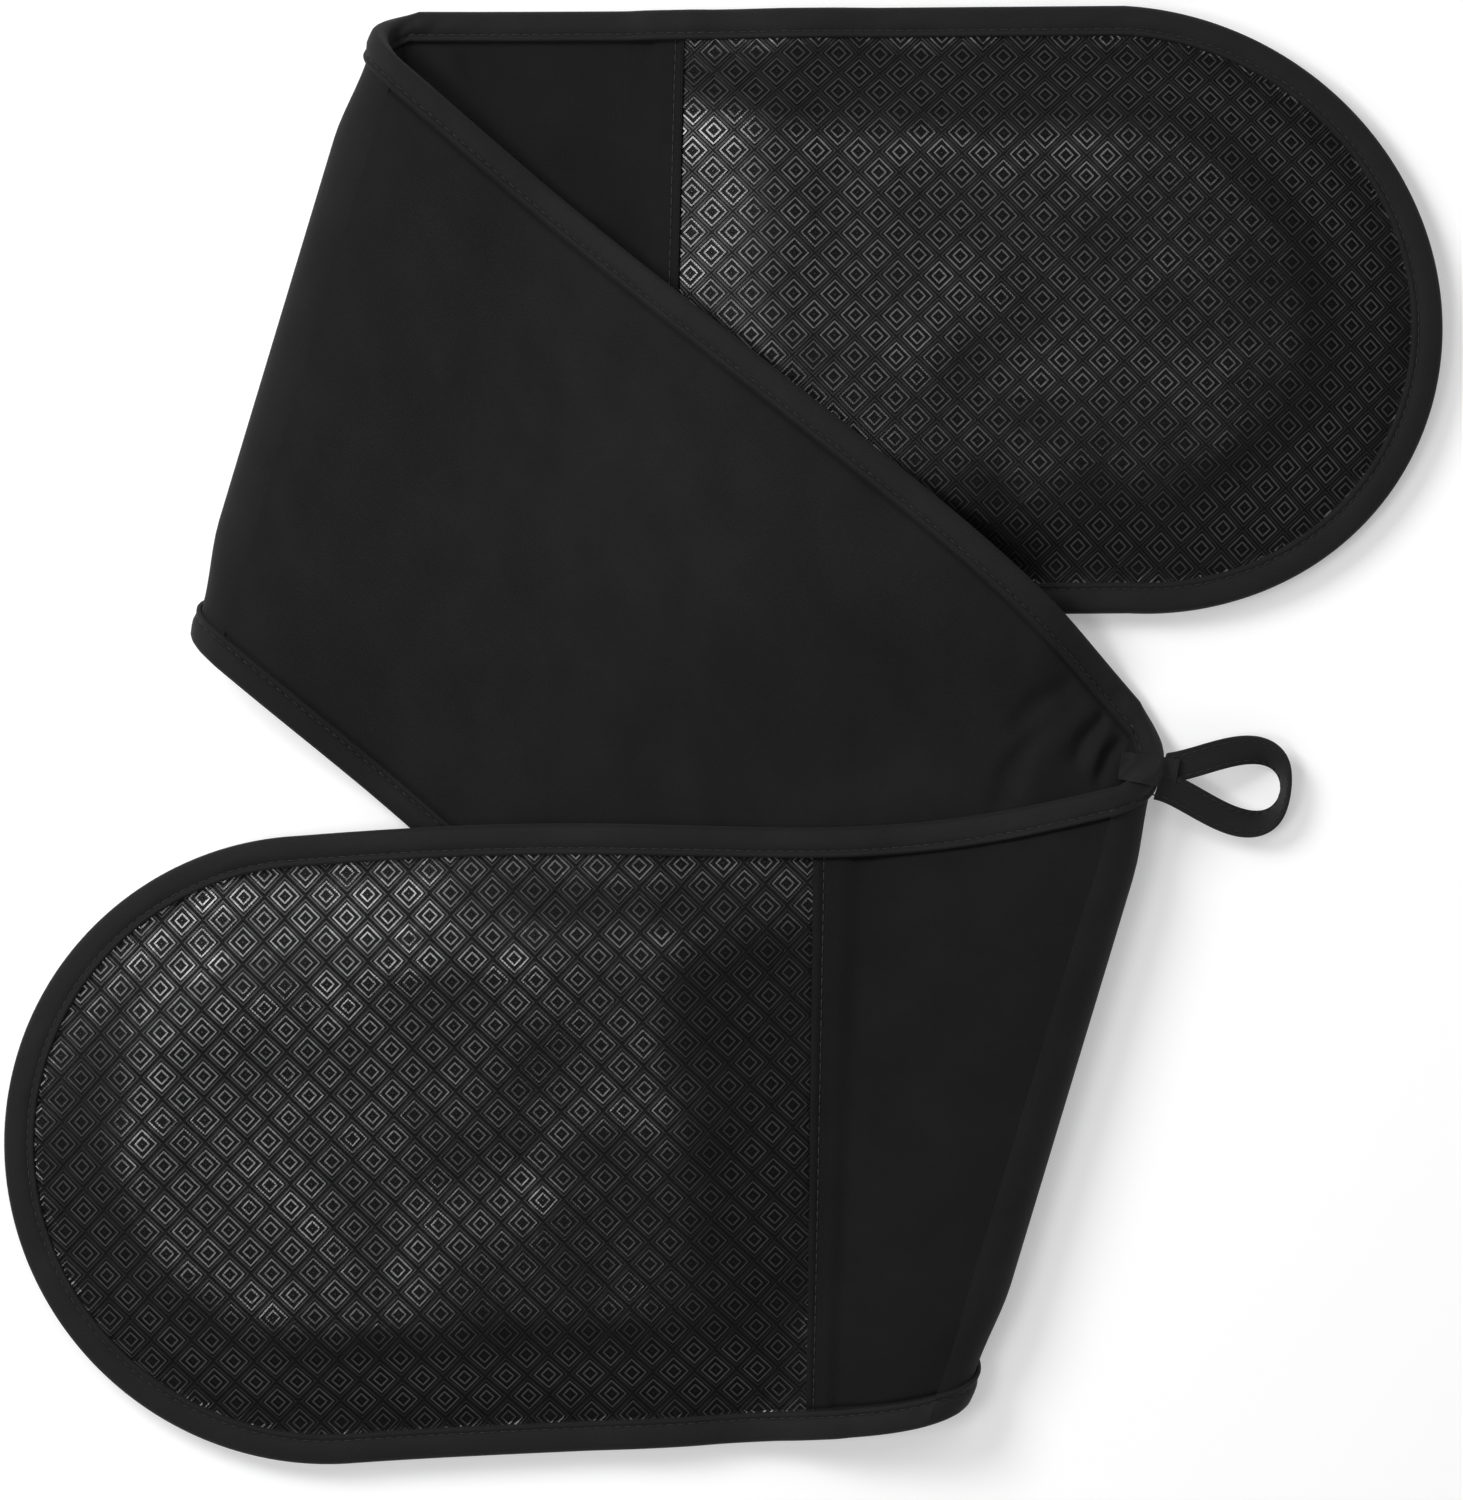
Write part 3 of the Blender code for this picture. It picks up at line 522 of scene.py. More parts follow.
# name, colour, roughness, threads in a metre, their turn, depth of the weave, specular, sheen
cottonMaterial = clothMaterial("mattBlackCotton", (0.0090, 0.0090, 0.0094), 0.85, 1700, 0.0, 0.00008, 0.15, 0.03)
faceMaterial = clothMaterial("blackFaceCotton", (0.0058, 0.0058, 0.0061), 0.8, 1700, 0.0, 0.00008, 0.13, 0.02)
tapeMaterial = clothMaterial("blackBiasTape", (0.0078, 0.0078, 0.0082), 0.75, 1700, biasTurn, 0.00008, 0.2, 0.03)
liningMaterial = clothMaterial("pocketLiningCotton", (0.012, 0.012, 0.012), 0.9, 1500, 0.0, 0.00008, 0.15)
loopMaterial = clothMaterial("loopTwillTape", (0.0100, 0.0100, 0.0104), 0.75, 1400, biasTurn, 0.0001, 0.2, 0.03)
threadMaterial = newMaterial("blackThread", (0.015, 0.015, 0.0155), 0.55, 0.3)[0]
feltMaterial = newMaterial("greyFelt", (0.22, 0.22, 0.21), 0.95, 0.2)[0]


# Embossed diamonds. A centre lies at Column, Row of each glove's own map, and the rows turn by Turn.
diamond = {
    "Outer Half": 0.0040, "Inner Half": 0.0020, "Rib Half": 0.00525, "Stud Half": 0.0006, "Ridge Width": 0.00054,
    "Ridge Shoulder": 0.00038, "Ridge Top": 0.00013, "Ridge Height": 0.00036, "Shoulder Height": 0.00030,
    "Ridge Root": 0.0003, "Rib Drop": 0.00018, "Tilt": 0.010, "Side Cuts": 1, "Edge Margin": 0.0014,
}
gripMapInset = 0.0012                      # how far in from the edge the surface for the diamonds starts
diamondRows = {
    "upper": {"Along": 0.01185, "Across": 0.01170, "Turn": float(np.radians(-1.5)), "Column": 0.1655, "Row": 0.0560},
    "lower": {"Along": 0.01200, "Across": 0.01264, "Turn": float(np.radians(3.0)), "Column": 0.2639, "Row": 0.0198},
}
pressedRibs = {"pitch": 0.085, "from": 0.40, "depth": 0.00006}     # pitch and start as shares of a diamond's pitch


def makeRibGroup():
    # fine ribs that run round each diamond, from the silicone's map in metres
    numbers = dict.fromkeys(("Column", "Row", "Turn", "Along", "Across"), 0.0)
    wires, given, result = newTree("Shader", "fineRibs", {"Vector": "Vector", **numbers}, {"Height": "Float"})
    maths = wires.maths
    start = wires.vector(given["Column"], given["Row"])
    spun = wires.add("ShaderNodeVectorRotate", {"rotation_type": "Z_AXIS"}, Vector=given["Vector"], Center=start,
                     Angle=maths("MULTIPLY", given["Turn"], -1.0))
    place = wires.split(wires.vectorMaths("SUBTRACT", spun.outputs[0], start)[0])
    x, y = maths("DIVIDE", place["X"], given["Along"]), maths("DIVIDE", place["Y"], given["Across"])
    sides = []
    for operation in ("ADD", "SUBTRACT"):
        value = maths(operation, x, y)
        sides.append(maths("ABSOLUTE", maths("SUBTRACT", value, maths("ROUND", value))))
    away = maths("MAXIMUM", *sides)
    rib = maths("SINE", maths("MULTIPLY", away, 2 * np.pi / pressedRibs["pitch"]))
    outside = maths("GREATER_THAN", away, pressedRibs["from"])
    wires.fill(result, {"Height": maths("MULTIPLY", rib, outside)})
    return wires.tree


ribGroup = makeRibGroup()


def makeSilicone(name, colour, specular, roughness, weaveDepth, grainDepth, rows=None):
    # black silicone: a fine pressed weave, fine ribs round the diamonds where rows are given, uneven gloss
    material, wires, shader = newMaterial(name, colour, roughness[0], specular)
    cut, height, tone = weaveOn(wires, 1200, biasTurn)
    grain = wires.add("ShaderNodeTexNoise", Scale=900, Detail=2, Vector=cut).outputs["Fac"]
    pitted = wires.bump(1.0, grainDepth, Height=grain)
    normal = wires.bump(0.5, weaveDepth, Height=height, Normal=pitted)
    if rows:
        ribs = wires.add("ShaderNodeGroup", {"node_tree": ribGroup}, rows, Vector=cut).outputs["Height"]
        normal = wires.bump(1.0, pressedRibs["depth"], Height=ribs, Normal=normal)
    wires.fill(shader, {"Normal": normal, "Roughness": wires.remap(tone, 0.35, 0.65, *roughness)})
    return material


siliconeGrounds = {
    name: makeSilicone(name + "SiliconeGround", (0.0030, 0.0030, 0.0032), 0.10, (0.44, 0.56), 0.00006, 0.00008, rows)
    for name, rows in diamondRows.items()}
siliconeRidge = makeSilicone("siliconeRidge", (0.0045, 0.0045, 0.0048), 0.9, (0.26, 0.38), 0.00002, 0.00004)
siliconeRib = makeSilicone("siliconeRib", (0.0034, 0.0034, 0.0036), 0.30, (0.36, 0.48), 0.00002, 0.00004)
print("materials made")


# ways to make meshes
def unit(vectors):
    return vectors / np.linalg.norm(vectors, axis=-1, keepdims=True)


def setMap(mesh, uvs):
    # the place of every point on the cut cloth, in metres
    corners = np.empty(len(mesh.loops), dtype=np.int32)
    mesh.loops.foreach_get("vertex_index", corners)
    places = uvs.reshape(-1, 2)[corners].astype(np.float32)
    mesh.uv_layers.new(name="cut").data.foreach_set("uv", places.ravel())


def closedSheet(name, over, under, uvs, material, joined=False):
    # closed sheet between two grids of points; joined: the last row is shared along the middle line
    index = pointGrid(over.shape[:2])
    low = index + index.size
    walls = [np.stack([index[:, 0], low[:, 0]])] + [np.stack([index[end], low[end]]).T for end in (0, -1)]
    if not joined:
        walls.append(np.stack([index[:, -1], low[:, -1]]).T)
    faces = [face for grid in (index, low.T, *walls) for face in gridFaces(grid)]
    mesh = newMesh(name, np.concatenate([over, under]), faces)
    setMap(mesh, np.concatenate([uvs, uvs]))
    work = bmesh.new()
    work.from_mesh(mesh)
    if joined:
        bmesh.ops.remove_doubles(work, verts=work.verts[:], dist=0.00001)
    bmesh.ops.recalc_face_normals(work, faces=work.faces[:])
    if work.calc_volume(signed=True) < 0:
        bmesh.ops.reverse_faces(work, faces=work.faces[:])
    work.to_mesh(mesh)
    work.free()
    mesh.materials.append(material)
    mesh.shade_smooth()
    mesh.set_sharp_from_angle(angle=np.radians(50))
    return intoScene(name, mesh)


def spread(marks, spacing):
    marks = sorted(set(marks))
    stations = marks[:1]
    for start, end in zip(marks, marks[1:]):
        count = max(1, round((end - start) / spacing))
        stations += [mix(start, end, (n + 1) / count) for n in range(count)]
    return stations


# Spacing of the cloths' and tapes' points, and where they lie close together: in from the tape and back from the seam
cloths = {
    "fine": 0.0026, "coarse": 0.0060, "middle": 0.0019, "fold": 0.0035, "edgeTape": 0.0024, "mouthTape": 0.0028,
    "nearFold": 0.0011, "nearFoldFrom": 0.84, "foldSteps": 24,
}
fineInsets = (0.0045, 0.0068, 0.0082, 0.0088, 0.0093, 0.0098, 0.0104, 0.0112, 0.0124, 0.0140)
coarseInsets = (0.0055, 0.0082, 0.0093, 0.0104, 0.0124)
seamLines = (0, 0.0006, 0.0012, 0.0018, 0.0023, 0.0026, 0.0029, 0.0034, 0.0045, 0.006)


def insetLines(half, spacing):
    # distances in from the edge: close together by the tape, then even to the middle line
    near = [clothInset, *(coarseInsets if spacing > 0.004 else fineInsets)]
    return near + spread([near[-1], tapeWidth + strip["puffRun"], half], spacing)[1:]


def armStations(arm, spacing, start=0.0):
    marks = [0, arm["lap"], arm["seam"], arm["mouth"], arm["mouth"] + tapeWidth, arm["run"]]
    along = [s for s in spread(marks, spacing) if s >= start - 1e-9]
    count = int(np.pi * arm["half"] / spacing)
    angles = [np.radians(90 - 180 * (n + 1) / count) for n in range(count - 1)]
    return [(s, 1) for s in along] + [(angle, 0) for angle in angles] + [(s, -1) for s in reversed(along)]


def armUv(arm, plan):
    local = plan - arm["fold"]
    return np.dstack([local @ arm["along"], local @ arm["across"]])


pieces = {}


def hold(item, body, slot, blended=None):
    # on its body, or, for a fold, on no body with its place baked into its points
    if blended:
        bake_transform(item)
    else:
        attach(item, body)


def keep(item, node, body, slot, blended=None):
    # in place of its CAD node and on its body
    pieces[node] = item
    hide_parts(node)
    hold(item, body, slot, blended)


def meshArea(item):
    # area of one face of a closed sheet
    return sum(face.area for face in item.data.polygons) / 2


def asSheet(item, cut, restsOn):
    # prints a cloth's cut width, length and area beside its area now
    width, length, area = cut
    print(item.name, "cut", round(width, 4), "x", round(length, 4), "of area", round(area or width * length, 4),
          "now", round(meshArea(item), 4))


def armCut(arm, start, end):
    # width, length and area of a glove's cloth from one station to another
    width = 2 * (arm["half"] - clothInset)
    straight = min(end, arm["run"]) - start
    if end <= arm["run"]:
        return width, straight, width * straight
    reach = strip["endReach"] * width / 2 / arm["half"]
    return width, straight + reach, width * straight + np.pi / 4 * width * reach


def armLayer(arm, name, material, spacing, over, under, start, end):
    insets = insetLines(arm["half"], spacing)
    plain = end < arm["tip"]
    if plain:
        nearSeam = [arm["seam"] - back for back in seamLines]
        along = spread([0, arm["lap"] - strip["lapStep"], arm["lap"], *nearSeam], spacing)
        s, v = armSpot(arm, [(at, 1) for at in along], insets)
        s, v = np.hstack([s, s[:, -2::-1]]), np.hstack([v, -v[:, -2::-1]])
    else:
        s, v = armSpot(arm, armStations(arm, spacing, start), insets)
    plan, inset = armPlan(arm, s, v), armInset(arm, s, v)
    top, low = np.dstack([plan, over(s, v, inset)]), np.dstack([plan, under(s, v, inset)])
    return closedSheet(name, top, low, armUv(arm, plan), material, joined=not plain)


tapePucker = {
    "height": 0.00030, "length": 0.0095, "lip": 0.00014, "lipLength": 0.003, "atFold": 0.0011,
    "foldReach": 0.020, "least": -0.00045, "corner": 0.0021,
}
# Upper half of a tape's section: back from its open edge, height, share of the lip's wave and of the puckers
tapeProfile = np.array([
    (0, -0.00040, 1, 0), (0.0001, 0, 1, 0), (0.0005, 0.00022, 1, 0), (0.0013, 0.00012, 0.5, 0),
    (0.0019, -0.00042, 0, 0), (0.0025, -0.00005, 0, 0.4), (0.0040, 0.00028, 0, 1), (0.0056, 0.00018, 0, 1)])
grooveColumn = 4                           # point of the section where the topstitch lies
seamStitch = {"back": 0.0026, "underTape": 0.0006, "points": 90, "threadLift": 0.00004}
threadPaths = {}


def tapeSection(high, low, rise, lip):
    # outside and inside of a folded tape at one station, as (inward, rise) points
    back, height, lipShare, riseShare = tapeProfile.T
    r = min(tapePucker["corner"], (high - low) / 2)
    turn = np.radians([90, 68, 45, 22, 0])
    plain = np.column_stack([np.append(tapeWidth - back, r - r * np.cos(turn)),
                             np.append(high + height, high - r + r * np.sin(turn))])
    upper = plain.copy()
    upper[:len(back), 1] += lip * lipShare + rise * riseShare
    lower = np.column_stack([plain[::-1, 0], high + low - plain[::-1, 1]])
    outside = np.vstack([upper, lower])
    inside = np.column_stack([np.maximum(outside[:, 0], tapeThick),
                              np.clip(outside[:, 1], low + tapeThick, high - tapeThick)])
    return outside, inside


def keepPath(owner, over, under):
    # a line of stitches on a surface
    threadPaths.setdefault(owner, []).append((over, unit(over - under)))


def lengthAlong(points):
    steps = np.linalg.norm(np.diff(points, axis=0), axis=1)
    return np.concatenate([[0], np.cumsum(steps)])


def foldedTape(name, node, body, highs, lows, placeOf, arc, restsOn, gathered=0.0, owner=None, blended=None):
    # tape round an edge; placeOf(inward, rise) takes grids (stations x section points)
    seed = sum(map(ord, name)) % 50
    wave = tapePucker["height"] * np.clip(patches(arc, 0 * arc, tapePucker["length"] / 2, seed), -1, 1)
    wave = wave + gathered * tapePucker["atFold"] * patches(arc, 0 * arc, tapePucker["lipLength"], seed + 1)
    wave = np.maximum(wave, tapePucker["least"])
    lips = tapePucker["lip"] * patches(arc, 0 * arc, tapePucker["lipLength"], seed + 2)
    sections = [tapeSection(*four) for four in zip(highs, lows, wave, lips)]
    outside, inside = np.swapaxes(sections, 0, 1)
    girth = lengthAlong(outside[0])
    uvs = np.dstack(np.meshgrid(arc, girth, indexing="ij"))
    over = placeOf(outside[..., 0], outside[..., 1])
    under = placeOf(inside[..., 0], inside[..., 1])
    for column in (grooveColumn, -1 - grooveColumn):
        keepPath(owner or body, over[:, column], under[:, column])
    tape = closedSheet(name, over, under, uvs, tapeMaterial)
    keep(tape, node, body, "binding_tape", blended)
    run = float(np.ptp(arc))
    asSheet(tape, (meshArea(tape) / run, run, None), restsOn)


def lapped(arm, s):
    return (strip["gripCloth"] + gap) * ease((s - arm["lap"] + strip["lapStep"]) / strip["lapStep"])


def gripTop(arm, s, v, inset):
    return armMid(arm, s, v) + halfWadding(inset) + gap + strip["gripCloth"] + armRelief(arm, s, v, inset)


def seamRoll(arm, s):
    # the plain cloth's folded edge beside the silicone: a roll, a sewn groove and a soft hollow behind it,
    # each with its height, how far back its middle lies and its width
    back = arm["seam"] - s
    return sum(height * np.exp(-((back - middle) / width) ** 2) for height, middle, width in (
        (0.00045, 0.0012, 0.0011), (-0.00022, seamStitch["back"], 0.0005), (-0.0003, 0.0060, 0.0025)))


def makeArmPieces(arm, body):
    name, mouth, tip = arm["name"], arm["mouth"], arm["tip"]
    fine, coarse = cloths["fine"], cloths["coarse"]

    def grip(s, v, inset):
        return gripTop(arm, s, v, inset)

    def plainTop(s, v, inset):
        top = armMid(arm, s, v) + halfWadding(inset) + gap + clothThick + lapped(arm, s)
        return top + armRelief(arm, s, v, inset) + seamRoll(arm, s) * ease((inset - tapeWidth) / strip["rollFade"])

    def feltTop(s, v, inset):
        return armMid(arm, s, v) + halfWadding(inset) + armRelief(arm, s, v, inset)

    def below(surface, drop):
        return lambda s, v, inset: surface(s, v, inset) - drop

    def strata(extra):
        return lambda s, v, inset: armMid(arm, s, v) - halfWadding(inset) + extra

    def panel(sign, extra):
        return lambda s, v, inset: pocketPanelMid(arm, s, v) + halfPocketWadding(arm, s, v) * sign + extra

    # piece, CAD node, slot, material, spacing, top, underside, first and last station, the wadding it rests on
    for piece, node, slot, material, spacing, over, under, start, end, restsOn in (
            ("grip_silicone", "grip_panel", "grip_silicone", siliconeGrounds[name], fine,
             grip, below(grip, strip["gripCloth"]), arm["lap"], tip, "_felt"),
            ("plain_face", "front_fabric", "cotton", faceMaterial, fine,
             plainTop, below(plainTop, clothThick), 0, arm["seam"], "_felt"),
            ("felt", "wadding", "wadding", feltMaterial, coarse,
             below(feltTop, strip["feltDrop"]), strata(0), 0, tip, None),
            ("back_cloth", "back_fabric", "cotton", cottonMaterial, coarse,
             strata(-gap), strata(-gap - clothThick), 0, tip, "_felt"),
            ("pocket_lining_cloth", "pocket_lining", "pocket_lining", liningMaterial, coarse,
             panel(1, gap + clothThick), panel(1, gap), mouth, tip, "_pocket_felt"),
            ("pocket_felt", "pocket_wadding", "wadding", feltMaterial, coarse,
             panel(1, 0), panel(-1, 0), mouth, tip, None),
            ("pocket_cloth", "pocket_panel", "cotton", cottonMaterial, coarse,
             panel(-1, -gap), panel(-1, -gap - clothThick), mouth, tip, "_pocket_felt")):
        item = armLayer(arm, name + "_" + piece, material, spacing, over, under, start, end)
        keep(item, name + "_" + node, body, slot)
        if restsOn:
            asSheet(item, armCut(arm, start, end), name + restsOn)

    # stitches along the seam between the plain cloth and the silicone
    reach = 1 - (tapeWidth - seamStitch["underTape"]) / arm["half"]
    v = np.linspace(-reach, reach, seamStitch["points"])[None, :]
    s = np.full_like(v, arm["seam"] - seamStitch["back"])
    sewn = np.dstack([armPlan(arm, s, v), plainTop(s, v, armInset(arm, s, v))])[0]
    keepPath(body, sewn, sewn - np.array([0, 0, clothThick]))

    # binding round the glove's edge
    stations = armStations(arm, cloths["edgeTape"])
    s0, v0 = [grid[:, 0] for grid in armSpot(arm, stations, [0.0])]
    lap = bump01(s0, arm["lap"] - strip["lapStep"] - 2 * gap, arm["seam"] + strip["lapStep"], tapeWidth)
    faceThick = mix(clothThick, strip["gripCloth"], ease((s0 - arm["lap"]) / strip["gripLap"]))
    top = strip["seamWadding"] / 2 + 2 * gap + mix(faceThick, clothThick + gap + strip["gripCloth"], lap)
    pocket = pocketSeamStack + gap + 2 * bound * atMouth(arm, s0)
    bottom = seamHalf + gap + pocket * pocketed(arm, s0)

    def onEdge(inward, up):
        s, v = armSpot(arm, stations, inward)
        return np.dstack([armPlan(arm, s, v), armMid(arm, s, v) + up])

    foldedTape(name + "_edge_tape", name + "_edge_binding", body, top + tapeThick, -bottom - tapeThick, onEdge,
               lengthAlong(armPlan(arm, s0, v0)), name + "_felt", np.exp(-(s0 / tapePucker["foldReach"]) ** 2))

    # binding along the pocket's mouth
    reach = 1 - clothInset / arm["half"]
    across = np.array(spread([-reach, reach], cloths["mouthTape"] / arm["half"]))
    inside = np.full(len(across), pocketSeamStack / 2 + gap)

    def onMouth(inward, up):
        v = np.repeat(across[:, None], inward.shape[1], 1)
        s, atEdge = mouth + inward, np.full_like(v, mouth)
        level = pocketPanelMid(arm, atEdge, v) - armSeat(arm, atEdge, v)
        return np.dstack([armPlan(arm, s, v), armSeat(arm, s, v) + level + up])

    foldedTape(name + "_mouth_tape", name + "_pocket_binding", body, inside + tapeThick, -inside - tapeThick,
               onMouth, across * arm["half"], name + "_pocket_felt")


def stretchPieces(prefix, names, columns, spacing, point, arcOf, body, blended=None):
    # cloth, felt, cloth and two tapes of a stretch with two long edges
    v = np.array([-1 + inset / halfWidth for inset in insetLines(halfWidth, spacing)])
    c, vv = np.meshgrid(columns, np.concatenate([v, -v[-2::-1]]), indexing="ij")
    inset = halfWidth * (1 - np.abs(vv))
    half = halfWadding(inset)
    arc = arcOf(columns)
    run, felt = float(np.ptp(arc)), prefix + "_wadding_cloth"
    uvs = np.dstack([arcOf(c), vv * halfWidth])
    for name, material, top, low, slot in (
            (names[0], cottonMaterial, -half - gap, -half - gap - clothThick, "cotton"),
            ("wadding", feltMaterial, half, -half, "wadding"),
            (names[1], cottonMaterial, half + gap + clothThick, half + gap, "cotton")):
        if not blended and name != names[0]:
            relief = reliefAt("middle", c, vv, inset, middlePlan(c, vv))
            top = top + relief
            low = low + relief * (name != "wadding")
        item = closedSheet(prefix + "_" + name + "_cloth", point(c, vv, top), point(c, vv, low), uvs, material)
        keep(item, prefix + "_" + name, body, slot, blended)
        if name == "wadding":
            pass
        elif blended:
            length = np.pi * (foldRadius + stripHalf * (1 if name == names[0] else -1))
            asSheet(item, (2 * (halfWidth - clothInset) * halfFold / halfWidth, length, None), felt)
        else:
            asSheet(item, (2 * (halfWidth - clothInset), run, None), felt)
    reach = np.full(len(columns), seamHalf + gap + tapeThick)
    for name, side in (("lower_binding", -1), ("upper_binding", 1)):
        def onEdge(inward, up):
            cc = np.repeat(columns[:, None], inward.shape[1], 1)
            return point(cc, side * (1 - inward / halfWidth), up)
        # the middle's tapes are gathered towards the folds, and a fold's tapes all along
        fromEnd = np.maximum(0, arc if side > 0 else arc + 1)
        gathered = [np.exp(-(away / tapePucker["foldReach"]) ** 2) for away in (arc[-1] - arc, fromEnd)]
        gathered = 0.6 if blended else np.minimum(gathered[0] + 0.5 * gathered[1], 1)
        foldedTape(prefix + "_" + name + "_tape", prefix + "_" + name, body, reach, -reach, onEdge, arc, felt,
                   gathered, prefix if blended else body, blended)


makeArmPieces(upperArm, "upper_glove")
makeArmPieces(lowerArm, "lower_glove")
print("gloves made")


def middlePoint(u, v, rise):
    return np.dstack([middlePlan(u, v), middleMid(u, v) + rise])


nearFoldFrom = cloths["nearFoldFrom"]
middleColumns = np.array(spread([0.0, nearFoldFrom], cloths["fine"] / strip["middleRun"])
                         + spread([nearFoldFrom, 1.0], cloths["nearFold"] / strip["middleRun"])[1:])
stretchPieces("middle", ("front_fabric", "back_fabric"), middleColumns, cloths["middle"], middlePoint,
              lambda u: u * strip["middleRun"], "middle_strip")

turns = np.linspace(0, 1, cloths["foldSteps"] + 1)
blendLow, blendHigh = 0.004, 0.020        # heights for a fold's blend between its two bodies, kept with the fold but not applied


def bendBlend(bend, a, b):
    x, y = bend["fold"]
    return (a, b, (x, y, blendLow), (x, y, blendHigh))


for bend, names, a, b in ((leftBend, ("back_fabric", "front_fabric"), "upper_glove", "middle_strip"),
                          (rightBend, ("front_fabric", "back_fabric"), "middle_strip", "lower_glove")):
    stretchPieces(bend["name"], names, turns, cloths["fold"], lambda c, v, r, bend=bend: bendPoints(bend, c, v, r),
                  lambda c: c * np.pi * foldRadius, a, bendBlend(bend, a, b))
print("middle and folds made")


# hanging loop
loopTape = {
    "width": 0.0086, "thick": 0.0013, "length": 0.0372, "halfBreadth": 0.0094, "rootSpacing": 0.0052,
    "tipHeight": 0.0046, "angle": -6.5, "flatTilt": 6.0, "tipTilt": 82.0, "turn": 52.0,
    "placeShare": 0.932, "sewnShare": 0.2, "steps": 150, "overlap": 0.0011,
}


def loopCentre(root, turn):
    way = np.array([*wayOf(loopTape["angle"]), 0])
    side, up = np.array([-way[1], way[0], 0]), np.array([0, 0, 1])
    out = loopTape["length"] * (1 + np.cos(turn)) / 2
    aside = loopTape["halfBreadth"] * np.sin(turn) * (1 + np.cos(turn)) / (3 * np.sqrt(3) / 4)
    drop = (loopTape["tipHeight"] - root[2]) * ease(out / loopTape["length"])
    sewn = np.array([*foldLine, 0]) * (loopTape["rootSpacing"] / 2)
    apart = mix(-1, 1, ease((turn / np.pi + 1) / 2))
    lap = loopTape["overlap"] * np.sign(turn) * -ease((np.abs(turn) / np.pi - 0.5) / 0.4)
    return root + np.outer(apart, sewn) + np.outer(out, way) + np.outer(aside, side) + np.outer(drop + lap, up)


# The loop tape's section: places across its half width, and its half thickness there
loopPlaces = np.array([-1, -0.97, -0.9, -0.8, -0.7, -0.62, -0.4, 0, 0.4, 0.62, 0.7, 0.8, 0.9, 0.97, 1])
loopRises = np.array([0.45, 0.8, 1, 1, 0.8, 1, 1.02, 1, 1.02, 1, 0.8, 1, 1, 0.8, 0.45])
loopGrooves = (4, 10)                      # points of the section where the stitches lie


def makeLoop():
    one, v = np.array([[0.5]]), np.array([[loopTape["placeShare"]]])
    root = bendPoints(rightBend, one, v, -(seamHalf + bound + gap) + 0 * v)[0, 0]
    turn = np.linspace(np.pi, -np.pi, loopTape["steps"] + 1)
    centre = loopCentre(root, turn)
    step = np.pi / 80
    after, before = np.minimum(turn + step, np.pi), np.maximum(turn - step, -np.pi)
    tangent = unit(loopCentre(root, after) - loopCentre(root, before))
    standing = np.exp(-(turn / np.radians(loopTape["turn"])) ** 2)
    tilt = np.radians(mix(loopTape["flatTilt"], loopTape["tipTilt"], standing))[:, None]
    up = np.array([0, 0, 1.0])
    width = unit(np.cross(tangent, up)) * np.cos(tilt) + up * np.sin(tilt)
    sewn = ease((np.abs(turn) / np.pi - 1) / loopTape["sewnShare"] + 1)[:, None]
    line = np.array([*foldLine, 0]) * np.where(turn > 0, 1, -1)[:, None]
    width = unit(mix(width, line, sewn))
    thick = unit(np.cross(tangent, width))
    places = loopPlaces * loopTape["width"] / 2
    flat = centre[:, None] + width[:, None] * places[None, :, None]
    rise = thick[:, None] * (loopRises * loopTape["thick"] / 2)[None, :, None]
    over, under = flat + rise, flat - rise
    for column in loopGrooves:
        keepPath("hanging_loop", over[:, column], under[:, column])
        keepPath("hanging_loop", under[:, column], over[:, column])
    uvs = np.dstack(np.meshgrid(lengthAlong(centre), places, indexing="ij"))
    item = closedSheet("loop_tape", over, under, uvs, loopMaterial)
    keep(item, "hanging_loop", "hanging_loop", "loop_tape")
    return float(centre[0, 2])


def drapedHeights(places, owners, clearance, missing):
    # heights just above the given pieces
    points, faces = [], []
    for owner in owners:
        mesh = pieces[owner].data
        faces += [[len(points) + corner for corner in face.vertices] for face in mesh.polygons]
        points += [vertex.co[:] for vertex in mesh.vertices]
    tree = BVHTree.FromPolygons(points, faces)
    heights = np.empty(len(places))
    for number, (x, y) in enumerate(places):
        hit = tree.ray_cast(Vector((x, y, 0.1)), Vector((0, 0, -1)))[0]
        heights[number] = hit.z + clearance if hit else missing
    return heights


loopEnd = {
    "start": (0.1142, -0.0088), "end": (0.1301, -0.0115), "columns": 26, "rows": 9, "clearance": 0.0009,
    "widths": (0.94, 1.06), "smoothing": 5, "thinEdge": 0.5, "edgePower": 6,
    "over": ("right_fold_upper_binding", "right_fold_lower_binding", "right_fold_front_fabric",
             "right_fold_back_fabric", "lower_edge_binding", "middle_upper_binding", "middle_back_fabric",
             "lower_front_fabric"),
}


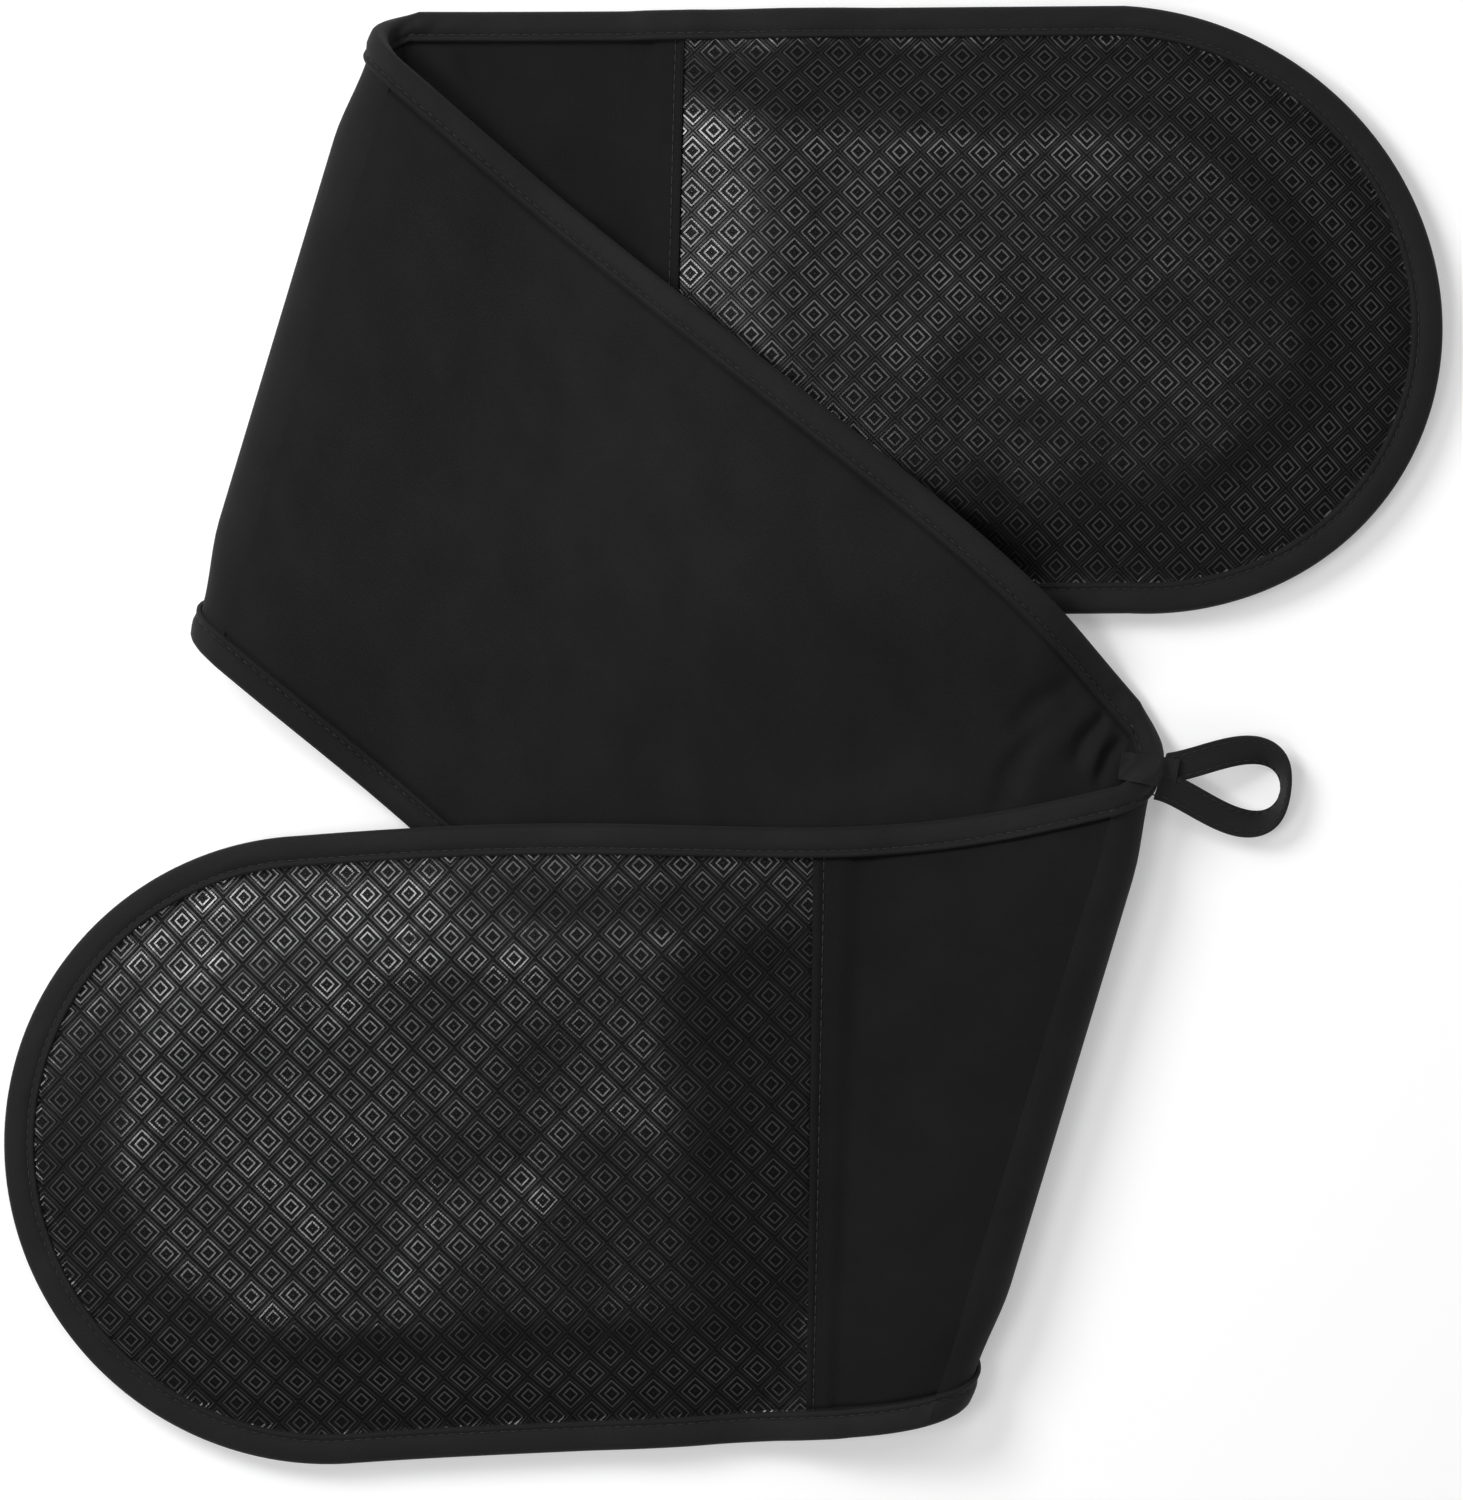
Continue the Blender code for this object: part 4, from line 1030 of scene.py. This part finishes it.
def makeLoopEnd(rootHeight):
    # the loop's sewn end, laid over the binding at the fold
    start, end = np.array(loopEnd["start"]), np.array(loopEnd["end"])
    way = (end - start) / np.hypot(*(end - start))
    across = np.array([-way[1], way[0]])
    steps = np.linspace(0, 1, loopEnd["columns"]), np.linspace(-1, 1, loopEnd["rows"])
    t, w = np.meshgrid(*steps, indexing="ij")
    breadth = loopTape["width"] / 2 * mix(*loopEnd["widths"], t)
    plan = start + (end - start) * t[..., None] + across * (w * breadth)[..., None]
    missing = rootHeight + loopTape["thick"] / 2 + loopTape["overlap"]
    low = drapedHeights(plan.reshape(-1, 2), loopEnd["over"], loopEnd["clearance"], missing).reshape(t.shape)
    high = low.copy()
    for _ in range(loopEnd["smoothing"]):
        wide = np.pad(high, 1, mode="edge")
        smooth = (wide[:-2, 1:-1] + wide[2:, 1:-1] + wide[1:-1, :-2] + wide[1:-1, 2:] + 2 * wide[1:-1, 1:-1]) / 6
        high = np.maximum(smooth, low)
    half = loopTape["thick"] / 2 * (1 - loopEnd["thinEdge"] * np.abs(w) ** loopEnd["edgePower"])
    over, under = np.dstack([plan, high + half]), np.dstack([plan, high - half])
    uvs = np.dstack([t * np.hypot(*(end - start)), w * loopTape["width"] / 2])
    item = closedSheet("loop_end_tape", over, under, uvs, loopMaterial)
    hold(item, None, "loop_tape", bendBlend(rightBend, "middle_strip", "lower_glove"))


makeLoopEnd(makeLoop())
print("loop made")


# Geometry Nodes for the embossed diamonds and the stitches
def runTree(tree, mesh, values, name):
    # the tree's result on a base mesh, as a plain object
    base = intoScene(mesh.name, mesh)
    modifier = base.modifiers.new(tree.name, "NODES")
    modifier.node_group = tree
    for socket in tree.interface.items_tree:
        if socket.item_type == "SOCKET" and socket.in_out == "INPUT" and socket.name in values:
            modifier[socket.identifier] = values[socket.name]
    bpy.context.view_layer.update()
    evaluated = base.evaluated_get(bpy.context.evaluated_depsgraph_get())
    result = bpy.data.meshes.new_from_object(evaluated)
    result.name = name
    base.modifiers.clear()
    bpy.data.objects.remove(base)
    print(name, len(result.polygons), "faces")
    return intoScene(name, result)


def makeDiamondTree():
    # nested diamonds in staggered rows, laid on a surface by its map
    inputs = {"Geometry": "Geometry", **diamond, **diamondRows["upper"], "Columns": 40.0, "Rows": 30.0,
              "Material": "Material", "Rib Material": "Material"}
    wires, given, result = newTree("Geometry", "embossedDiamonds", inputs, {"Geometry": "Geometry"})
    add, maths, vector = wires.add, wires.maths, wires.vector

    def link(node, target, key):
        wires.fill(target, {key: node.outputs[0]})

    # one diamond: two ridged rings, a lower one for the rib round them, and a stud
    root = maths("MULTIPLY", given["Ridge Root"], -1.0)
    levels = ((given["Ridge Width"], root), (given["Ridge Shoulder"], given["Shoulder Height"]),
              (given["Ridge Top"], given["Ridge Height"]))
    corners = [(maths("MULTIPLY", width, -0.5), level) for width, level in levels]
    corners += [(maths("MULTIPLY", width, 0.5), level) for width, level in reversed(levels)]
    ngon = add("GeometryNodeCurvePrimitiveCircle", Resolution=len(corners), Radius=1.0)
    number = add("GeometryNodeInputIndex").outputs[0]
    corner = vector(*corners[0])
    for count, place in enumerate(corners[1:]):
        later = add("FunctionNodeCompare", {"data_type": "INT", "operation": "GREATER_THAN"}, {2: number, 3: count})
        corner = add("GeometryNodeSwitch", {"input_type": "VECTOR"},
                     {"Switch": later.outputs[0], "False": corner, "True": vector(*place)}).outputs[0]
    profile = add("GeometryNodeSetPosition", Geometry=ngon.outputs["Curve"], Position=corner)
    shape = add("GeometryNodeJoinGeometry")
    for label in ("Outer Half", "Inner Half", "Rib Half"):
        isRib = label == "Rib Half"
        ring = add("GeometryNodeCurvePrimitiveCircle", Resolution=4, Radius=given[label])
        cut = add("GeometryNodeSubdivideCurve", Curve=ring.outputs["Curve"], Cuts=given["Side Cuts"])
        tube = add("GeometryNodeCurveToMesh", Curve=cut.outputs["Curve"], Profile_Curve=profile.outputs[0])
        drop = maths("MULTIPLY", given["Rib Drop"], -1.0 if isRib else 0.0)
        lowered = add("GeometryNodeTransform", Geometry=tube.outputs["Mesh"], Translation=vector(0.0, 0.0, drop))
        marked = add("GeometryNodeStoreNamedAttribute", {"data_type": "BOOLEAN", "domain": "FACE"},
                     Geometry=lowered.outputs[0], Name="rib", Value=isRib)
        link(marked, shape, 0)
    stud = add("GeometryNodeMeshCone", {"fill_type": "NGON"}, Vertices=4, Side_Segments=1, Fill_Segments=1,
               Radius_Top=given["Ridge Top"], Radius_Bottom=given["Stud Half"],
               Depth=maths("ADD", given["Ridge Height"], given["Ridge Root"]))
    link(add("GeometryNodeTransform", Geometry=stud.outputs["Mesh"], Translation=vector(0.0, 0.0, root)), shape, 0)

    # two staggered lattices of centres
    centres = add("GeometryNodeJoinGeometry")
    for shift in (0.0, 0.5):
        grid = add("GeometryNodeMeshGrid", Size_X=maths("MULTIPLY", given["Along"], given["Columns"]),
                   Size_Y=maths("MULTIPLY", given["Across"], given["Rows"]),
                   Vertices_X=maths("ADD", given["Columns"], 1.0), Vertices_Y=maths("ADD", given["Rows"], 1.0))
        step = vector(maths("MULTIPLY", given["Along"], shift), maths("MULTIPLY", given["Across"], shift))
        stepped = add("GeometryNodeTransform", Geometry=grid.outputs["Mesh"], Translation=step)
        link(add("GeometryNodeTransform", Geometry=stepped.outputs[0], Rotation=vector(0.0, 0.0, given["Turn"]),
                 Translation=vector(given["Column"], given["Row"])), centres, 0)

    # the centres that fall on the silicone
    spot = add("GeometryNodeInputPosition").outputs[0]

    def stored(kind, name):
        return add("GeometryNodeInputNamedAttribute", {"data_type": kind}, Name=name).outputs["Attribute"]

    def onMap(kind, value):
        # the grip's value at the place on its map where a point lies
        return add("GeometryNodeSampleUVSurface", {"data_type": kind}, Mesh=given["Geometry"], Value=value,
                   Source_UV_Map=stored("FLOAT_VECTOR", "cut"), Sample_UV=spot).outputs

    def onSilicone(geometry):
        probe = onMap("FLOAT", stored("FLOAT", "inset"))
        bare = maths("LESS_THAN", probe["Value"], given["Edge Margin"])
        lost = add("FunctionNodeBooleanMath", {"operation": "NOT"}, {0: probe["Is Valid"]})
        gone = add("FunctionNodeBooleanMath", {"operation": "OR"}, {0: bare, 1: lost.outputs[0]})
        return add("GeometryNodeDeleteGeometry", {"domain": "POINT"}, Geometry=geometry, Selection=gone.outputs[0])

    kept = onSilicone(centres.outputs[0])
    back = maths("MULTIPLY", given["Tilt"], -1.0)
    lean = add("FunctionNodeRandomValue", {"data_type": "FLOAT_VECTOR"},
               {0: vector(back, back, given["Turn"]), 1: vector(given["Tilt"], given["Tilt"], given["Turn"])}, Seed=5)
    placed = add("GeometryNodeInstanceOnPoints", Points=kept.outputs[0], Instance=shape.outputs[0],
                 Rotation=lean.outputs[0])
    real = onSilicone(add("GeometryNodeRealizeInstances", Geometry=placed.outputs[0]).outputs[0])

    # laid on the surface, point by point
    mapped = add("GeometryNodeStoreNamedAttribute", {"data_type": "FLOAT2", "domain": "CORNER"},
                 Geometry=real.outputs[0], Name="cut", Value=spot)
    lift = vector(0.0, 0.0, wires.split(spot)["Z"])
    laid = add("GeometryNodeSetPosition", Geometry=mapped.outputs[0],
               Position=wires.vectorMaths("ADD", onMap("FLOAT_VECTOR", spot)["Value"], lift)[0])
    crisp = add("GeometryNodeSetShadeSmooth", Geometry=laid.outputs[0], Shade_Smooth=False)
    painted = add("GeometryNodeSetMaterial", Geometry=crisp.outputs[0], Material=given["Material"])
    link(add("GeometryNodeSetMaterial", Geometry=painted.outputs[0], Selection=stored("BOOLEAN", "rib"),
             Material=given["Rib Material"]), result, 0)
    return wires.tree


def makeDiamonds(arm, body):
    # the grip's top surface as an open sheet with its map, for the tree to lay the diamonds on
    insets = [gripMapInset] + insetLines(arm["half"], cloths["fine"])[1:]
    s, v = armSpot(arm, armStations(arm, cloths["fine"], arm["lap"]), insets)
    plan, inset = armPlan(arm, s, v), armInset(arm, s, v)
    points = np.dstack([plan, gripTop(arm, s, v, inset)])
    mesh = newMesh("gripSurface", points, gridFaces(pointGrid(s.shape)))
    setMap(mesh, armUv(arm, plan))
    mesh.attributes.new("inset", "FLOAT", "POINT").data.foreach_set("value", inset.astype(np.float32).ravel())
    values = {**diamond, **diamondRows[arm["name"]], "Material": siliconeRidge, "Rib Material": siliconeRib}
    hold(runTree(diamondTree, mesh, values, arm["name"] + "_grip_diamonds"), body, "grip_silicone")


diamondTree = makeDiamondTree()
makeDiamonds(upperArm, "upper_glove")
makeDiamonds(lowerArm, "lower_glove")

stitch = {"Pitch": 0.0030, "Length": 0.0022, "Arch": 0.00045, "Dip": 0.00010, "Thread Radius": 0.00021}


def makeStitchTree():
    # short stitches along paths, each an arched piece of thread
    inputs = {"Geometry": "Geometry", **stitch, "Material": "Material"}
    wires, given, result = newTree("Geometry", "topstitches", inputs, {"Geometry": "Geometry"})
    add, maths, vector = wires.add, wires.maths, wires.vector
    half = maths("MULTIPLY", given["Length"], 0.5)
    dip = maths("MULTIPLY", given["Dip"], -1.0)
    arc = add("GeometryNodeCurveQuadraticBezier", Resolution=4, Middle=vector(0.0, 0.0, given["Arch"]),
              Start=vector(maths("MULTIPLY", half, -1.0), 0.0, dip), End=vector(half, 0.0, dip))
    ring = add("GeometryNodeCurvePrimitiveCircle", Resolution=5, Radius=given["Thread Radius"])
    tube = add("GeometryNodeCurveToMesh", Curve=arc.outputs[0], Profile_Curve=ring.outputs["Curve"], Fill_Caps=True)
    path = add("GeometryNodeMeshToCurve", Mesh=given["Geometry"])
    even = add("GeometryNodeResampleCurve", {"mode": "LENGTH"}, Curve=path.outputs[0], Length=given["Pitch"])
    up = add("GeometryNodeInputNamedAttribute", {"data_type": "FLOAT_VECTOR"}, Name="upward")
    tangent = add("GeometryNodeInputTangent")
    stand = add("FunctionNodeAlignRotationToVector", {"axis": "Z"}, Vector=up.outputs["Attribute"])
    lie = add("FunctionNodeAlignRotationToVector", {"axis": "X", "pivot_axis": "Z"}, Rotation=stand.outputs[0],
              Vector=tangent.outputs[0])
    placed = add("GeometryNodeInstanceOnPoints", Points=even.outputs[0], Instance=tube.outputs[0],
                 Rotation=lie.outputs[0])
    real = add("GeometryNodeRealizeInstances", Geometry=placed.outputs[0])
    smooth = add("GeometryNodeSetShadeSmooth", Geometry=real.outputs[0], Shade_Smooth=True)
    painted = add("GeometryNodeSetMaterial", Geometry=smooth.outputs[0], Material=given["Material"])
    wires.fill(result, {0: painted.outputs[0]})
    return wires.tree


stitchTree = makeStitchTree()


def makeThread(owner, slot, body, blended=None):
    points, ups, edges = [], [], []
    for path, up in threadPaths[owner]:
        edges += [(len(points) + n, len(points) + n + 1) for n in range(len(path) - 1)]
        points += (path + up * seamStitch["threadLift"]).tolist()
        ups += up.tolist()
    mesh = newMesh("stitchPaths", points, edges=edges)
    mesh.attributes.new("upward", "FLOAT_VECTOR", "POINT").data.foreach_set("vector", np.array(ups).ravel())
    item = runTree(stitchTree, mesh, {**stitch, "Material": threadMaterial}, owner + "_thread")
    hold(item, body, slot, blended)


for body in ("upper_glove", "middle_strip", "lower_glove"):
    makeThread(body, "binding_tape", body)
makeThread("hanging_loop", "loop_tape", "hanging_loop")
makeThread("left_fold", "binding_tape", None, bendBlend(leftBend, "upper_glove", "middle_strip"))
makeThread("right_fold", "binding_tape", None, bendBlend(rightBend, "middle_strip", "lower_glove"))
print("diamonds and stitches made")

# floor, light, camera
ground = {"reach": 3, "level": -0.0004, "glow": 0.25}


def makeFloor():
    reach, level = ground["reach"], ground["level"]
    corners = [(x * reach, y * reach, level) for x, y in ((-1, -1), (1, -1), (1, 1), (-1, 1))]
    floor = intoScene("floor", newMesh("floor", corners, [(0, 1, 2, 3)]))
    material, wires, shader = newMaterial("whiteFloor", (0.82, 0.82, 0.82), 0.9, 0.1)
    ray = wires.add("ShaderNodeLightPath").outputs
    seen = wires.maths("MAXIMUM", ray["Is Camera Ray"], ray["Is Glossy Ray"])
    wires.fill(shader, {"Emission Color": (1, 1, 1, 1),
                        "Emission Strength": wires.maths("MULTIPLY", seen, ground["glow"])})
    floor.data.materials.append(material)


room = {"strength": 0.35, "above": 0.14, "aroundFrom": 0.45, "around": 1.15, "sides": 0.9, "sideTurn": 45.0}


def makeWorld():
    # a soft room: dim straight above, lighter around, with two lighter sides that the ridges catch
    world = bpy.data.worlds.new("softRoom")
    bpy.context.scene.world = world
    world.use_nodes = True
    wires = Wires(world.node_tree)
    light = world.node_tree.nodes["Background"]
    place = wires.add("ShaderNodeTexCoord").outputs["Generated"]
    level = wires.remap(wires.split(place)["Z"], room["aroundFrom"], 1.0, room["around"], room["above"],
                        interpolation_type="SMOOTHSTEP")
    side = wires.vectorMaths("DOT_PRODUCT", place, (*wayOf(room["sideTurn"]), 0))["Value"]
    total = wires.maths("MULTIPLY_ADD", wires.maths("MULTIPLY", side, side), room["sides"], level)
    wires.fill(light, {"Strength": room["strength"], "Color": total})
    white = wires.add("ShaderNodeBackground", Color=(1, 1, 1, 1))
    seen = wires.add("ShaderNodeLightPath").outputs["Is Camera Ray"]
    choose = wires.add("ShaderNodeMixShader", None, {0: seen, 1: light.outputs[0], 2: white.outputs[0]})
    wires.fill(world.node_tree.nodes["World Output"], {"Surface": choose.outputs[0]})


lamps = {
    "keyLamp": {"place": (-0.78, 0.58, 0.95), "size": 0.5, "power": 11.5},
    "glintLamp": {"place": (-0.46, -0.12, 1.20), "size": 0.32, "power": 3.6},
    "topLamp": {"place": (0.04, 0.46, 1.25), "size": 0.44, "power": 2.0},
    "fillLamp": {"place": (0.95, -0.6, 1.1), "size": 1.0, "power": 1.0},
}


def makeLamps():
    for name, lamp in lamps.items():
        light = bpy.data.lights.new(name, "AREA")
        light.size, light.energy = lamp["size"], lamp["power"]
        item = intoScene(name, light)
        item.location = lamp["place"]
        item.rotation_euler = (-Vector(lamp["place"])).to_track_quat("-Z", "Y").to_euler()


photoCamera = {"place": (0.0022, -0.0044, 1.28), "lens": 105.98, "sensor": 36}


def makeCamera():
    data = bpy.data.cameras.new("topCamera")
    data.sensor_fit = "VERTICAL"
    data.sensor_height, data.lens = photoCamera["sensor"], photoCamera["lens"]
    camera = intoScene("topCamera", data)
    camera.location = photoCamera["place"]
    bpy.context.scene.camera = camera


makeFloor()
makeWorld()
makeLamps()
makeCamera()
bpy.context.scene.view_settings.view_transform = "Standard"
print("scene made")
